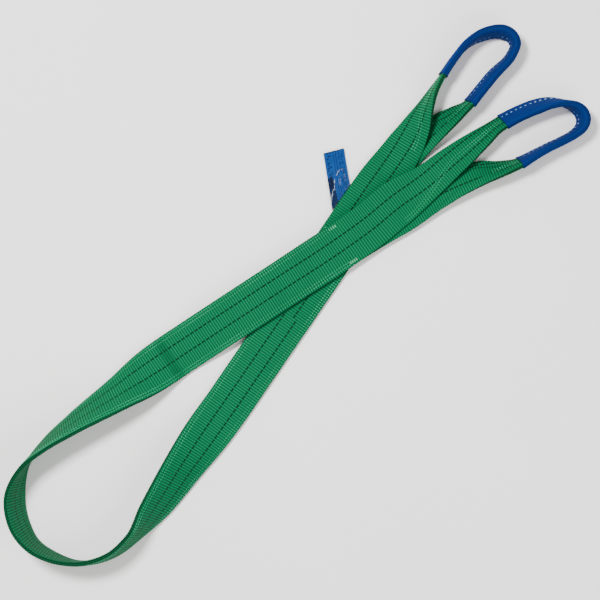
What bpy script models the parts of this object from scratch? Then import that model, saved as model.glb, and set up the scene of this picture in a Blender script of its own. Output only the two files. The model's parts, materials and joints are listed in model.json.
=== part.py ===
"""Flat web sling: 60 mm duplex webbing, two folded soft eyes in wear sleeves, a tag.

The sling lies on a flat surface, doubled back on itself. Its two legs cross near
their eyes, and the webbing between them turns back standing on its edge. The
layout is drawn about the point where the legs cross, with +X towards the eyes
and +Z up, and is moved at the end so that the origin is at the middle of the
bottom of the whole sling.

One length of webbing makes both plies and both eyes. It is divided here where
the sling bends freely: at the crease behind the bight, at the throat of eye B,
and where eye A leaves the crossing.
"""
from math import cos, radians, sin, tan

import bmesh
import bpy
import numpy as np

# ---------------------------------------------------------------- dimensions
# Everything is in metres and degrees.
CLEAR = 0.0003              # running gap between pieces that touch

WEB_WIDTH = 0.060           # width of the flat webbing
PLY = 0.0030                # thickness of one ply
PLY_GAP = 0.0010            # space between the two plies, where the tag is sewn in
FOLD_WIDTH = 0.030          # width of the webbing folded for the eye
FOLD_THICK = 0.0062         # thickness of the folded webbing

LEG_ANGLE = 11.2            # each leg's angle to the X axis
BIGHT_REACH = 0.534         # crossing to the far end of the bight
BIGHT_HALF_WIDTH = 0.0805   # half the bight's width, on the webbing's middle
BIGHT_NEAR = 0.209          # far end of the bight to where its sides leave the legs' lines
BIGHT_DRAW_IN = 0.965       # share of the legs' own spread that its sides keep there
CREASE = 0.240              # crossing to the crease of leg B, and to leg A's start
RAMP_CLEAR = 0.012          # leg B stays level this far past leg A's edge
RAMP_LEVEL = 0.005          # and lies on the surface this far before its crease
RAMP_ROWS = 13              # rows that draw the slope between them
THROAT = 0.020              # crossing to the end of the sewn body, on both legs
FOLD_LEAD = 0.040           # eye B starts to drift sideways this far past its throat
FOLD_START = 0.095          # crossing to where the webbing begins to fold
EYE_A_REACH = 0.335         # throat to the outside of eye A's tip, in plan
EYE_B_REACH = 0.344         # throat to the outside of eye B's tip, in plan
EXIT_FOLD = 0.33            # share of the fold reached where eye A leaves the crossing
EXIT_SHIFT = -0.0040        # sideways shift of eye A's lower ply there
EXIT_CLEAR = 0.0015         # eye A leaves this far past the end of the crossing

SEAM_WIDTH = 0.0020         # width of a row of stitches
SEAM_THICK = 0.0005         # height of a row of stitches
EDGE_MARGIN = 0.0050        # edge of the webbing to the middle of its edge seam
TACK_LENGTH = 0.0120        # dense back-stitching at the end of an edge seam
TACK_WIDTH = 0.0034

SLEEVE_LENGTH = 0.212       # wear sleeve, along the eye
SLEEVE_WALL = 0.0014
SLEEVE_SEAM_MARGIN = 0.0125 # lower edge of the sleeve to its row of stitches
EXIT_SEAM = 0.006           # eye A's upper fold seam starts this far past the crossing
LOWER_SEAM = 0.038          # length of a lower fold seam, back from the sleeve's mouth

TAG_WIDTH = 0.027
TAG_LENGTH = 0.061          # free length outside the seam
TAG_TURN = 43.4             # angle between the tag and the leg
TAG_AT = 0.061              # crossing to the middle of the tag's root
TAG_TAB = 0.020             # depth of the tab between the plies
TAG_THICK = 0.0004
COVER_LENGTH = 0.036        # clear cover over the tag's root
COVER_OVERHANG = 0.0015     # cover stands proud of the tag on each side
COVER_THICK = 0.0003

# Values that follow from those above.
STACK = 2 * PLY + PLY_GAP
STEP_UP = PLY + PLY_GAP
SEAM_FOOT = STACK + CLEAR
SEAM_TOP = SEAM_FOOT + SEAM_THICK
SEAM_END = THROAT - TACK_LENGTH - 2 * CLEAR
LIFT = SEAM_TOP + CLEAR
CROSS_REACH = WEB_WIDTH / 2 / sin(radians(LEG_ANGLE))
EXIT = CROSS_REACH + EXIT_CLEAR
TAB_FOOT = PLY + (PLY_GAP - TAG_THICK) / 2
FLAT_STEP = 0.030           # spacing of sections where the webbing lies flat
FOLD_STEP = 0.013           # spacing where it begins to fold
BEND_STEP = 0.009           # spacing where it bends or twists
EYE_STEP = 0.0075           # spacing round the eyes
SLEEVE_FADE = 9             # sections over which the webbing comes down past a sleeve

LEG_A = radians(LEG_ANGLE)
LEG_B = -radians(LEG_ANGLE)


# ------------------------------------------------------------------- runs
def smooth_rows(rows, step):
    """Sections on a smooth curve through hand-placed rows.

    A row is x, y, height of the lowest point, tilt in degrees, width and
    thickness. The plan curve is a Catmull-Rom curve over chord length. The other
    columns use harmonic-mean slopes, so they never pass their own end values.
    """
    rows = np.asarray(rows, float)
    gaps = np.hypot(*np.diff(rows[:, :2], axis=0).T)[:, None]
    slope = np.diff(rows, axis=0) / gaps
    before, after = slope[:-1], slope[1:]
    tangent = np.zeros_like(rows)
    tangent[1:-1] = (before * gaps[1:] + after * gaps[:-1]) / (gaps[1:] + gaps[:-1])
    total = before + after
    same_way = before * after > 0
    limited = np.where(same_way, 2 * before * after / np.where(same_way, total, 1), 0)
    tangent[1:-1, 2:] = limited[:, 2:]
    tangent[0, :2], tangent[-1, :2] = slope[0, :2], slope[-1, :2]
    knots = np.concatenate([[0], np.cumsum(gaps)])
    at = np.linspace(0, knots[-1], max(2, int(round(knots[-1] / step)) + 1))
    piece = np.clip(np.searchsorted(knots, at, side="right") - 1, 0, len(gaps) - 1)
    span = gaps[piece]
    share = (at - knots[piece])[:, None] / span
    return ((1 + 2 * share) * (1 - share) ** 2 * rows[piece]
            + share * (1 - share) ** 2 * span * tangent[piece]
            + share ** 2 * (3 - 2 * share) * rows[piece + 1]
            + share ** 2 * (share - 1) * span * tangent[piece + 1])


def heading(angle, way=1):
    """The plan direction of a leg, away from the bight, or towards it if way is -1."""
    return way * cos(angle), way * sin(angle)


def framed(sections, inside, starts, ends):
    """Middle, across and face directions of each section of a run.

    inside is +1 where the loop closes to the left of the run and -1 to the right.
    A tilt of 0 lies flat, face up, with the inner edge on the inside; at 90 the
    webbing stands on its outer edge, face outwards; at 180 it lies face down.
    starts and ends are the plan directions of the first and last section, so that
    a run's ends are square to the leg that it meets.
    """
    plan = sections[:, :2]
    along = np.gradient(plan, axis=0)
    along /= np.hypot(along[:, 0], along[:, 1])[:, None]
    along[0], along[-1] = starts, ends
    inward = np.c_[-along[:, 1], along[:, 0], np.zeros(len(plan))] * inside
    up = np.array([0.0, 0.0, 1.0])
    tilt = np.radians(sections[:, 3])[:, None]
    across = np.cos(tilt) * inward + np.sin(tilt) * up
    face = -np.sin(tilt) * inward + np.cos(tilt) * up
    width, height = sections[:, 4], sections[:, 5]
    lowest = -width / 2 * np.abs(across[:, 2]) + np.minimum(0, height * face[:, 2])
    foot = plan - height[:, None] / 2 * face[:, :2]
    middle = np.c_[foot, sections[:, 2] - lowest]
    return {"middle": middle, "across": across, "face": face,
            "width": width, "height": height}


def part_of(run, first, last):
    """The sections first to last of a run."""
    return {key: value[first:last + 1] for key, value in run.items()}


def corner(run, u, v):
    """Points u across from the middle and v up from the foot of each section."""
    u = np.broadcast_to(u, run["width"].shape)[:, None]
    v = np.broadcast_to(v, run["width"].shape)[:, None]
    return run["middle"] + u * run["across"] + v * run["face"]


def frame_turned(angle, x, y):
    """A point given along and to the left of a leg, in the layout's frame."""
    return x * cos(angle) - y * sin(angle), x * sin(angle) + y * cos(angle)


def leg_rows(angle, rows):
    """Rows given in a leg's own frame, turned into the layout's frame."""
    return [(*frame_turned(angle, row[0], row[1]), *row[2:]) for row in rows]


def leg_b_run(start):
    """Leg B, from near its throat back to the crease, up and over leg A."""
    ramp_top = -(CROSS_REACH + RAMP_CLEAR)
    ramp_foot = -CREASE + RAMP_LEVEL
    rows = [(start, 0, LIFT, 0, WEB_WIDTH, STACK)]
    for share in np.linspace(0, 1, RAMP_ROWS):
        height = LIFT * (1 - share * share * (3 - 2 * share))
        rows.append((ramp_top + (ramp_foot - ramp_top) * share, 0, height, 0,
                     WEB_WIDTH, STACK))
    rows.append((-CREASE + CLEAR, 0, 0, 0, WEB_WIDTH, STACK))
    back = heading(LEG_B, -1)
    return framed(smooth_rows(leg_rows(LEG_B, rows), BEND_STEP), 1, back, back)


def bight_run():
    """The turn-back, from the crease of leg B round to the start of leg A.

    It twists up onto its edge, leans outwards at the far corner on leg B's side and
    inwards on leg A's side, and twists back down.
    """
    wide = BIGHT_HALF_WIDTH
    end = -BIGHT_REACH
    start_x, start_y = frame_turned(LEG_B, -CREASE, 0)
    near = end + BIGHT_NEAR
    near_y = -near * tan(LEG_A) * BIGHT_DRAW_IN
    out = [(start_x, start_y, 0), (near, near_y, 46), (end + 0.142, wide * 0.93, 67),
           (end + 0.097, wide, 79), (end + 0.063, wide * 0.98, 90),
           (end + 0.024, wide * 0.71, 103), (end + 0.006, wide * 0.37, 101), (end, 0, 94)]
    back = [(end + 0.008, -wide * 0.37, 89), (end + 0.028, -wide * 0.74, 82),
            (end + 0.063, -wide * 0.98, 80), (end + 0.098, -wide * 1.02, 76),
            (end + 0.142, -wide * 0.94, 55), (near, -near_y, 34), (start_x, -start_y, 0)]
    rows = [(x, y, 0, tilt, WEB_WIDTH, STACK) for x, y, tilt in out + back]
    return framed(smooth_rows(rows, BEND_STEP), 1, heading(LEG_B, -1), heading(LEG_A))


def narrow(share):
    """Width of the webbing after a share of the fold from flat to folded."""
    return WEB_WIDTH + (FOLD_WIDTH - WEB_WIDTH) * share


def thick(share):
    """Thickness of the webbing after a share of the fold."""
    return PLY + (FOLD_THICK - PLY) * share


def leg_a_sewn_run():
    """Leg A, flat from the end of the bight to its throat."""
    start = -CREASE + CLEAR
    rows = [(start, 0, 0, 0, WEB_WIDTH, STACK), (SEAM_END, 0, 0, 0, WEB_WIDTH, STACK)]
    way = heading(LEG_A)
    return framed(smooth_rows(leg_rows(LEG_A, rows), FLAT_STEP), 1, way, way)


def leg_a_ply_rows(base, shift):
    """One ply of leg A from the bight to the exit, folding after the throat."""
    rows = [(-CREASE + CLEAR, 0, base, 0, WEB_WIDTH, PLY),
            (THROAT, 0, base, 0, WEB_WIDTH, PLY),
            (FOLD_START, 0, base, 0, WEB_WIDTH, PLY),
            (EXIT - CLEAR, shift, base, 0, narrow(EXIT_FOLD), PLY)]
    way = heading(LEG_A)
    return framed(smooth_rows(leg_rows(LEG_A, rows), FOLD_STEP), 1, way, way)


def eye_rows(angle, start, tip, rows):
    """Rows of an eye: share of the way from start to tip, then the rest as given."""
    placed = [(start + share * (tip - start), y, base, tilt, narrow(fold), thick(fold))
              for share, y, base, tilt, fold in rows]
    return leg_rows(angle, placed)


def eye_a_run():
    """Eye A, out along its upper ply, round the tip and back along the lower."""
    rows = [
        (0.00, 0.0000, STEP_UP, 0, EXIT_FOLD),
        (0.15, 0.0022, STEP_UP * 0.75, 20, 0.62),
        (0.28, 0.0064, STEP_UP * 0.35, 52, 0.80),
        (0.42, 0.0103, 0.0002, 76, 0.93),
        (0.54, 0.0112, 0, 85, 1),
        (0.65, 0.0115, 0, 87, 1),
        (0.80, 0.0080, 0, 94, 1),
        (0.915, -0.0047, 0, 103, 1),
        (0.98, -0.0203, 0, 104, 1),
        (0.99, -0.0325, 0, 99, 1),
        (0.96, -0.0428, 0, 96, 1),
        (0.90, -0.0458, 0, 99, 1),
        (0.72, -0.0409, 0, 107, 1),
        (0.56, -0.0382, 0, 108, 1),
        (0.48, -0.0368, 0, 109, 1),
        (0.39, -0.0304, 0, 126, 0.93),
        (0.26, -0.0205, 0, 150, 0.80),
        (0.13, -0.0115, 0, 169, 0.60),
        (0.00, EXIT_SHIFT, 0, 180, EXIT_FOLD)]
    placed = eye_rows(LEG_A, EXIT + CLEAR, THROAT + EYE_A_REACH, rows)
    return framed(smooth_rows(placed, EYE_STEP), -1, heading(LEG_A), heading(LEG_A, -1))


def eye_b_run():
    """Eye B, from its throat over leg A and down to the surface, and back."""
    fall = LIFT + STEP_UP
    tip = THROAT + EYE_B_REACH
    start = THROAT + CLEAR
    drift = THROAT + FOLD_LEAD
    out = [(start, 0.0000, fall, 0, 0), (drift, 0.0020, fall, 0, 0),
           (FOLD_START, 0.0060, fall, 0, 0)]
    back = [(FOLD_START, -0.0030, LIFT, 180, 0), (drift, -0.0010, LIFT, 180, 0),
            (start, 0.0000, LIFT, 180, 0)]
    loop = [
        (-0.02, 0.0085, fall, 3, 0.48),
        (0.12, 0.0120, fall * 0.80, 10, 0.62),
        (0.25, 0.0145, fall * 0.52, 22, 0.74),
        (0.38, 0.0168, fall * 0.26, 40, 0.86),
        (0.51, 0.0188, fall * 0.06, 56, 0.97),
        (0.64, 0.0172, 0, 57, 1),
        (0.76, 0.0126, 0, 58, 1),
        (0.86, 0.0056, 0, 68, 1),
        (0.93, -0.0050, 0, 84, 1),
        (0.97, -0.0165, 0, 98, 1),
        (0.98, -0.0270, 0, 103, 1),
        (0.963, -0.0365, 0, 104, 1),
        (0.92, -0.0424, 0, 102, 1),
        (0.86, -0.0436, 0, 100, 1),
        (0.79, -0.0424, 0, 100, 1),
        (0.69, -0.0397, 0, 101, 1),
        (0.58, -0.0378, 0, 105, 1),
        (0.50, -0.0366, 0, 111, 1),
        (0.38, -0.0295, 0, 126, 0.86),
        (0.27, -0.0205, LIFT * 0.22, 146, 0.74),
        (0.12, -0.0128, LIFT * 0.62, 163, 0.60),
        (-0.02, -0.0080, LIFT, 176, 0.40)]
    placed = [(x, y, base, tilt, narrow(fold), thick(fold)) for x, y, base, tilt, fold in out]
    for share, y, base, tilt, fold in loop:
        x = EXIT + share * (tip - EXIT)
        placed.append((x, y, base, tilt, narrow(fold), thick(fold)))
    placed += [(x, y, base, tilt, narrow(fold), thick(fold))
               for x, y, base, tilt, fold in back]
    sections = smooth_rows(leg_rows(LEG_B, placed), EYE_STEP)
    return framed(sections, -1, heading(LEG_B), heading(LEG_B, -1))


# ------------------------------------------------------------------ solids
def wall_triangles(count, corners, offset):
    """Triangles of the wall that joins count sections, each of so many corners.

    The first half of the corners is the lower face and the second half the upper
    face. Both are cut along the same diagonal, so that plies which lie on each
    other stay parallel where they twist.
    """
    triangles = []
    for i in range(count - 1):
        for a in range(corners):
            b = (a + 1) % corners
            ia, ib = offset + corners * i + a, offset + corners * i + b
            ja, jb = ia + corners, ib + corners
            if a < corners // 2:
                triangles.extend([(ia, ib, jb), (ia, jb, ja)])
            else:
                triangles.extend([(ia, ib, ja), (ib, jb, ja)])
    return triangles


def lofted(sections):
    """Corners and triangles of a closed solid that runs through sections."""
    count, corners = sections.shape[:2]
    triangles = wall_triangles(count, corners, 0)
    for foot in (0, corners * (count - 1)):
        for k in range(corners // 2 - 1):
            low, high = foot + k, foot + corners - 1 - k
            triangles.extend([(low, low + 1, high - 1), (low, high - 1, high)])
    return sections.reshape(-1, 3), triangles


def lofted_tube(outer, inner):
    """Corners and triangles of a tube between outer and inner sections."""
    count, corners = outer.shape[:2]
    hollow = count * corners
    triangles = wall_triangles(count, corners, 0) + wall_triangles(count, corners, hollow)
    for foot in (0, corners * (count - 1)):
        for a in range(corners):
            b = foot + (a + 1) % corners
            a += foot
            triangles.extend([(a, b, hollow + b), (a, hollow + b, hollow + a)])
    return np.concatenate([outer.reshape(-1, 3), inner.reshape(-1, 3)]), triangles


def bar(run, across, v_low, v_high):
    """Sections of a bar with corners at each place across, between two heights."""
    low = [corner(run, u, v_low) for u in across]
    high = [corner(run, u, v_high) for u in reversed(across)]
    return np.stack(low + high, axis=1)


def ply(run, v_low=0.0, v_high=None):
    """A full-width layer of a run, with a line of corners under each edge seam."""
    half = run["width"] / 2
    across = (-half, edge_of(run, -1), edge_of(run, 1), half)
    return lofted(bar(run, across, v_low, run["height"] if v_high is None else v_high))


def folded_ply(run):
    """The eye's webbing, with a line of corners under each of its seams."""
    half = run["width"] / 2
    return lofted(bar(run, (-half, sleeve_seam_place(run), 0, half), 0, run["height"]))


def stitches(run, u, v_low, width=SEAM_WIDTH):
    """A row of stitches, u across from the middle, standing on height v_low."""
    return lofted(bar(run, (u - width / 2, u + width / 2), v_low, v_low + SEAM_THICK))


def edge_of(run, side):
    """Where an edge seam runs: -1 is the outer edge and +1 the inner edge."""
    return side * (run["width"] / 2 - EDGE_MARGIN)


def tack(angle, base, side):
    """Back-stitching just past the end of an edge seam, along the leg."""
    u = side * (WEB_WIDTH / 2 - EDGE_MARGIN)
    x = SEAM_END + CLEAR
    rows = [(x, u, base, 0, TACK_WIDTH, SEAM_THICK),
            (x + TACK_LENGTH, u, base, 0, TACK_WIDTH, SEAM_THICK)]
    way = heading(angle)
    run = framed(np.array(leg_rows(angle, rows)), 1, way, way)
    return stitches(run, 0, 0, TACK_WIDTH)


def prism(low, high):
    """A closed solid between a lower and an upper outline of four corners."""
    low, high = np.asarray(low, float), np.asarray(high, float)
    points = np.concatenate([low, high])
    triangles = [(0, 2, 1), (0, 3, 2), (4, 5, 6), (4, 6, 7)]
    for a, b in ((0, 1), (1, 2), (2, 3), (3, 0)):
        triangles.extend([(a, b, b + 4), (a, b + 4, a + 4)])
    return points, triangles


def strip_outline(root_y, reach, width):
    """The tag's strip, cut along the leg's edge at one end and square at the other.

    It is drawn in leg A's frame, with y counted from the leg's edge.
    """
    turn = radians(TAG_TURN)
    slant = width / 2 / sin(turn)
    middle_x = TAG_AT + root_y / tan(turn)
    end = (middle_x + reach * cos(turn), root_y + reach * sin(turn))
    side = (-sin(turn) * width / 2, cos(turn) * width / 2)
    return [(middle_x - slant, root_y), (middle_x + slant, root_y),
            (end[0] - side[0], end[1] - side[1]), (end[0] + side[0], end[1] + side[1])]


def tag_piece(root_y, reach, width, foot, height):
    """A flat piece of the tag: level inside the leg, and outside it in the plane
    that slopes from the leg's edge down to the tag's farthest corner."""
    far_y = max(y for _, y in strip_outline(2 * CLEAR, TAG_LENGTH, TAG_WIDTH))
    low = []
    for x, y in strip_outline(root_y, reach, width):
        fall = TAB_FOOT * max(0.0, y) / far_y
        low.append((*frame_turned(LEG_A, x, y + WEB_WIDTH / 2), foot - fall))
    return prism(low, [(x, y, z + height) for x, y, z in low])


def along_leg(run, angle):
    """Each section's distance from the crossing, along a leg."""
    return run["middle"][:, 0] * cos(angle) + run["middle"][:, 1] * sin(angle)


def length_along(run):
    """Each section's distance from the first one, along the run."""
    steps = np.linalg.norm(np.diff(run["middle"], axis=0), axis=1)
    return np.concatenate([[0], np.cumsum(steps)])


def sleeve_span(run, angle):
    """First and last section of an eye that its wear sleeve covers."""
    length = length_along(run)
    tip = np.argmax(along_leg(run, angle))
    covered = np.abs(length - length[tip]) <= SLEEVE_LENGTH / 2
    inside = np.flatnonzero(covered)
    return int(inside[0]), int(inside[-1])


def sleeve(run):
    """The wear sleeve: a flat tube round the folded webbing, open at both ends."""
    half, height = run["width"] / 2 + CLEAR, run["height"]
    outer_half, seam = half + SLEEVE_WALL, sleeve_seam_place(run)
    rise = CLEAR + SLEEVE_WALL
    return lofted_tube(bar(run, (-outer_half, seam, 0, outer_half), -rise, height + rise),
                       bar(run, (-half, seam, 0, half), -CLEAR, height + CLEAR))


def sleeve_seam_place(run):
    """Where the sleeve's row of stitches runs, across from the middle."""
    return SLEEVE_SEAM_MARGIN - run["width"] / 2 - CLEAR - SLEEVE_WALL


def eye_pieces(letter, run, angle, hinge, seam_from):
    """The webbing, sleeve and stitching of one eye."""
    first, last = sleeve_span(run, angle)
    length = length_along(run)
    rise = CLEAR + SLEEVE_WALL
    run["middle"][:, 2] += sleeve_rise(run, first, last, rise)
    covered = part_of(run, first, last)
    upper_from = int(np.argmax(along_leg(run, angle) >= seam_from))
    lower_to = int(np.flatnonzero(length <= length[last] + LOWER_SEAM)[-1])
    upper = part_of(run, upper_from, first - 1)
    lower = part_of(run, last + 1, lower_to)
    body = "eye_" + letter
    top = covered["height"] + rise + CLEAR
    return [
        (body + "_webbing", folded_ply(run), "webbing", hinge),
        (body + "_wear_sleeve", sleeve(covered), "sleeve", hinge),
        (body + "_sleeve_seam", stitches(covered, sleeve_seam_place(covered), top),
         "sleeve_thread", hinge),
        (body + "_upper_fold_seam", stitches(upper, 0, upper["height"] + CLEAR),
         "webbing_thread", hinge),
        (body + "_lower_fold_seam", stitches(lower, 0, -CLEAR - SEAM_THICK),
         "webbing_thread", hinge)]


def sleeve_rise(run, first, last, rise):
    """How far the folded webbing is held off the surface by its sleeve.

    Inside the sleeve it is what the wall needs at each section's tilt, and it fades
    out along the webbing that leaves the sleeve.
    """
    steps = np.arange(len(run["width"]))
    past = np.maximum(first - steps, steps - last)
    share = np.clip(1 - past / SLEEVE_FADE, 0, 1)
    spread = np.abs(run["across"][:, 2]) + np.abs(run["face"][:, 2])
    return rise * spread * share * share * (3 - 2 * share)


def all_pieces():
    """Every sub-part: its name, its solid, its material and its parent hinge."""
    bight, leg_b = bight_run(), leg_b_run(THROAT - CLEAR)
    sewn_a, sewn_b = leg_a_sewn_run(), leg_b_run(SEAM_END)
    eye_a, eye_b = eye_a_run(), eye_b_run()
    pieces = [
        ("bight_face_ply", ply(bight, STEP_UP), "webbing", None),
        ("bight_back_ply", ply(bight, 0.0, PLY), "webbing", None),
        ("leg_a_face_ply", ply(leg_a_ply_rows(STEP_UP, 0.0)), "webbing", None),
        ("leg_a_back_ply", ply(leg_a_ply_rows(0.0, EXIT_SHIFT)), "webbing", None),
        ("leg_b_face_ply", ply(leg_b, STEP_UP), "webbing", "leg_b_fold"),
        ("leg_b_back_ply", ply(leg_b, 0.0, PLY), "webbing", "leg_b_fold")]
    for name, run, hinge in (("bight", bight, None), ("leg_a", sewn_a, None),
                             ("leg_b", sewn_b, "leg_b_fold")):
        for side, word in ((-1, "outer"), (1, "inner")):
            seam = stitches(run, edge_of(run, side), SEAM_FOOT)
            pieces.append((name + "_" + word + "_edge_seam", seam, "webbing_thread", hinge))
    for name, angle, base, hinge in (("leg_a", LEG_A, 0.0, None),
                                     ("leg_b", LEG_B, LIFT, "leg_b_fold")):
        for side, word in ((1, "left"), (-1, "right")):
            solid = tack(angle, base + SEAM_FOOT, side)
            pieces.append((name + "_" + word + "_end_tack", solid, "webbing_thread", hinge))
    pieces += eye_pieces("a", eye_a, LEG_A, "eye_a_fold", EXIT + EXIT_SEAM)
    pieces += eye_pieces("b", eye_b, LEG_B, "eye_b_fold", FOLD_START)
    cover_foot = TAB_FOOT + TAG_THICK + CLEAR
    cover_width = TAG_WIDTH + 2 * COVER_OVERHANG
    pieces += [
        ("tag_tab", tag_piece(-CLEAR, -TAG_TAB, TAG_WIDTH, TAB_FOOT, TAG_THICK),
         "tag", None),
        ("tag_flap", tag_piece(2 * CLEAR, TAG_LENGTH, TAG_WIDTH, TAB_FOOT, TAG_THICK),
         "tag", "tag_flip"),
        ("tag_clear_cover", tag_piece(2 * CLEAR, COVER_LENGTH, cover_width, cover_foot,
                                      COVER_THICK), "clear_film", "tag_flip")]
    return pieces


def hinges():
    """The place and parent of each hinge, on top of the pile that folds there."""
    tag_top = TAB_FOOT + TAG_THICK + 2 * CLEAR + COVER_THICK
    return {
        "leg_b_fold": ((*frame_turned(LEG_B, -CREASE, 0), SEAM_TOP), None),
        "eye_b_fold": ((*frame_turned(LEG_B, THROAT, 0), LIFT + SEAM_TOP), "leg_b_fold"),
        "eye_a_fold": ((*frame_turned(LEG_A, EXIT, 0), SEAM_TOP), None),
        "tag_flip": ((*frame_turned(LEG_A, TAG_AT, WEB_WIDTH / 2 + CLEAR), tag_top), None)}


# --------------------------------------------------------------- materials
FINISHES = {
    "webbing": ((0.014, 0.279, 0.117, 1), 0.75),
    "webbing_thread": ((0.45, 0.70, 0.55, 1), 0.60),
    "sleeve": ((0.004, 0.069, 0.275, 1), 0.70),
    "sleeve_thread": ((0.35, 0.50, 0.80, 1), 0.60),
    "tag": ((0.014, 0.162, 0.456, 1), 0.45),
    "clear_film": ((0.60, 0.72, 0.85, 0.35), 0.12)}


def make_material(name):
    """A Principled material with the finish's colour and roughness."""
    colour, roughness = FINISHES[name]
    material = bpy.data.materials.new(name)
    material.use_nodes = True
    shader = material.node_tree.nodes["Principled BSDF"]
    shader.inputs["Base Color"].default_value = colour
    shader.inputs["Roughness"].default_value = roughness
    shader.inputs["Metallic"].default_value = 0.0
    shader.inputs["Alpha"].default_value = colour[3]
    return material


# ----------------------------------------------------------------- the model
def make_object(name, solid, material, hinge, origin):
    """One closed mesh object, with its own origin on its hinge."""
    points, triangles = solid
    offset = origin if hinge is None else hinge["place"] + origin
    mesh = bpy.data.meshes.new(name)
    mesh.from_pydata((points - offset).tolist(), [], triangles)
    shape = bmesh.new()
    shape.from_mesh(mesh)
    bmesh.ops.recalc_face_normals(shape, faces=shape.faces)
    shape.to_mesh(mesh)
    shape.free()
    mesh.materials.append(material)
    item = bpy.data.objects.new(name, mesh)
    bpy.context.collection.objects.link(item)
    if hinge is not None:
        item.parent = hinge["empty"]
    return item


def middle_of_base(pieces):
    """The middle of the bottom of the box round all pieces."""
    low = np.min([points.min(axis=0) for _, (points, _), _, _ in pieces], axis=0)
    high = np.max([points.max(axis=0) for _, (points, _), _, _ in pieces], axis=0)
    return np.array([(low[0] + high[0]) / 2, (low[1] + high[1]) / 2, low[2]])


def build():
    """Build the sling: hinges, sub-parts and materials."""
    for item in list(bpy.data.objects):
        bpy.data.objects.remove(item, do_unlink=True)
    pieces = all_pieces()
    origin = middle_of_base(pieces)
    empties = {}
    for name, (place, parent_name) in hinges().items():
        place = np.array(place) - origin
        parent = empties.get(parent_name)
        step = place if parent is None else place - parent["place"]
        empty = bpy.data.objects.new(name, None)
        empty.empty_display_size = 0.02
        bpy.context.collection.objects.link(empty)
        empty.parent = None if parent is None else parent["empty"]
        empty.location = step
        empties[name] = {"empty": empty, "place": place}
    materials = {name: make_material(name) for name in FINISHES}
    for name, solid, material, hinge in pieces:
        make_object(name, solid, materials[material], empties.get(hinge), origin)


build()
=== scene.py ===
"""Flat web sling: ribbed green webbing, two folded eyes in blue sleeves, a tag.

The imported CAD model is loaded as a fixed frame, and each of its solids is replaced
by a woven or sewn surface in the same place. The layout is drawn about the point
where the sling's legs cross, with +X towards the eyes, and is moved onto the frame
by the place of the hinge at leg B's crease. Lengths are in metres, angles in degrees.

A run is a list of sections along a band: the middle of its foot, the direction
across it, the direction out of its face, its width and its thickness. All surfaces
are grids whose rows are such sections and whose columns go round the band's edge.
"""

import json
from math import cos, pi, radians, sin, tan

import bpy
import numpy as np
from mathutils import Matrix, Vector


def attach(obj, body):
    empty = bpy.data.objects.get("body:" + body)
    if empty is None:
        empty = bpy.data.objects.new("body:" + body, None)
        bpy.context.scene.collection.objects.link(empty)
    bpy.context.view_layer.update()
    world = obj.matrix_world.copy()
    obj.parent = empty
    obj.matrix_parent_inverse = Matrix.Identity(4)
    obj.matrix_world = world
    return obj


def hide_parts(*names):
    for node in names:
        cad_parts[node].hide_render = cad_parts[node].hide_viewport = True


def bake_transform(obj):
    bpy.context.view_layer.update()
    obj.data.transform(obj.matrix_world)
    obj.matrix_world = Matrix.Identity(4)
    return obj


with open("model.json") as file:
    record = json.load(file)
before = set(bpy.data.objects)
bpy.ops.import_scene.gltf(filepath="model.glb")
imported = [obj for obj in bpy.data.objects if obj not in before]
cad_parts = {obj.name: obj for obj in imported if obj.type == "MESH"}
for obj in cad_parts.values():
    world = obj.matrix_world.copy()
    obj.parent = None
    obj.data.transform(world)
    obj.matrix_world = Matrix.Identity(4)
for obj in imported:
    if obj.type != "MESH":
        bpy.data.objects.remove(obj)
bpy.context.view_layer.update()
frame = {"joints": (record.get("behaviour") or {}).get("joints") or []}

bl_info = {
    "name": "Flat web sling",
    "version": (1, 0, 0),
    "blender": (4, 5, 0),
    "location": "3D View > Sidebar > Sling",
    "description": "Dresses the packed model of a flat web sling in webbing, sleeves and stitches",
    "category": "Object"}

# --------------------------------------------------------------- the sling's sizes
# These repeat the driving sizes of the CAD model, which this script can't read. Only
# the sleeves' length differs: it is 2 mm less, so that they stay inside their solids.
CLEAR = 0.0003              # running gap between pieces that touch
WEB_WIDTH = 0.060
PLY = 0.0030
PLY_GAP = 0.0010
FOLD_WIDTH = 0.030
FOLD_THICK = 0.0062
LEG_ANGLE = 11.2            # each leg's angle to the X axis
BIGHT_REACH = 0.534         # crossing to the far end of the bight
BIGHT_HALF_WIDTH = 0.0805
BIGHT_NEAR = 0.209
BIGHT_DRAW_IN = 0.965
CREASE = 0.240              # crossing to the crease of leg B
RAMP_CLEAR = 0.012
RAMP_LEVEL = 0.005
RAMP_ROWS = 13
THROAT = 0.020
FOLD_LEAD = 0.040
FOLD_START = 0.095
EYE_A_REACH = 0.335
EYE_B_REACH = 0.344
EXIT_FOLD = 0.33
EXIT_SHIFT = -0.0040
EXIT_CLEAR = 0.0015
SEAM_THICK = 0.0005
EDGE_MARGIN = 0.0050
TACK_LENGTH = 0.0120
SLEEVE_LENGTH = 0.210
SLEEVE_WALL = 0.0014
SLEEVE_SEAM_MARGIN = 0.0125
LOWER_SEAM = 0.038
TAG_WIDTH = 0.027
TAG_LENGTH = 0.061
TAG_TURN = 43.4
TAG_AT = 0.061
TAG_TAB = 0.020
TAG_THICK = 0.0004
COVER_LENGTH = 0.036
COVER_OVERHANG = 0.0015
COVER_THICK = 0.0003
SLEEVE_FADE = 0.0675        # the webbing comes down this far past a sleeve

STACK = 2 * PLY + PLY_GAP
STEP_UP = PLY + PLY_GAP
SEAM_TOP = STACK + CLEAR + SEAM_THICK
LIFT = SEAM_TOP + CLEAR
CROSS_REACH = WEB_WIDTH / 2 / sin(radians(LEG_ANGLE))
EXIT = CROSS_REACH + EXIT_CLEAR
TAB_FOOT = PLY + (PLY_GAP - TAG_THICK) / 2
LEG_A = radians(LEG_ANGLE)
LEG_B = -radians(LEG_ANGLE)

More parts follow.
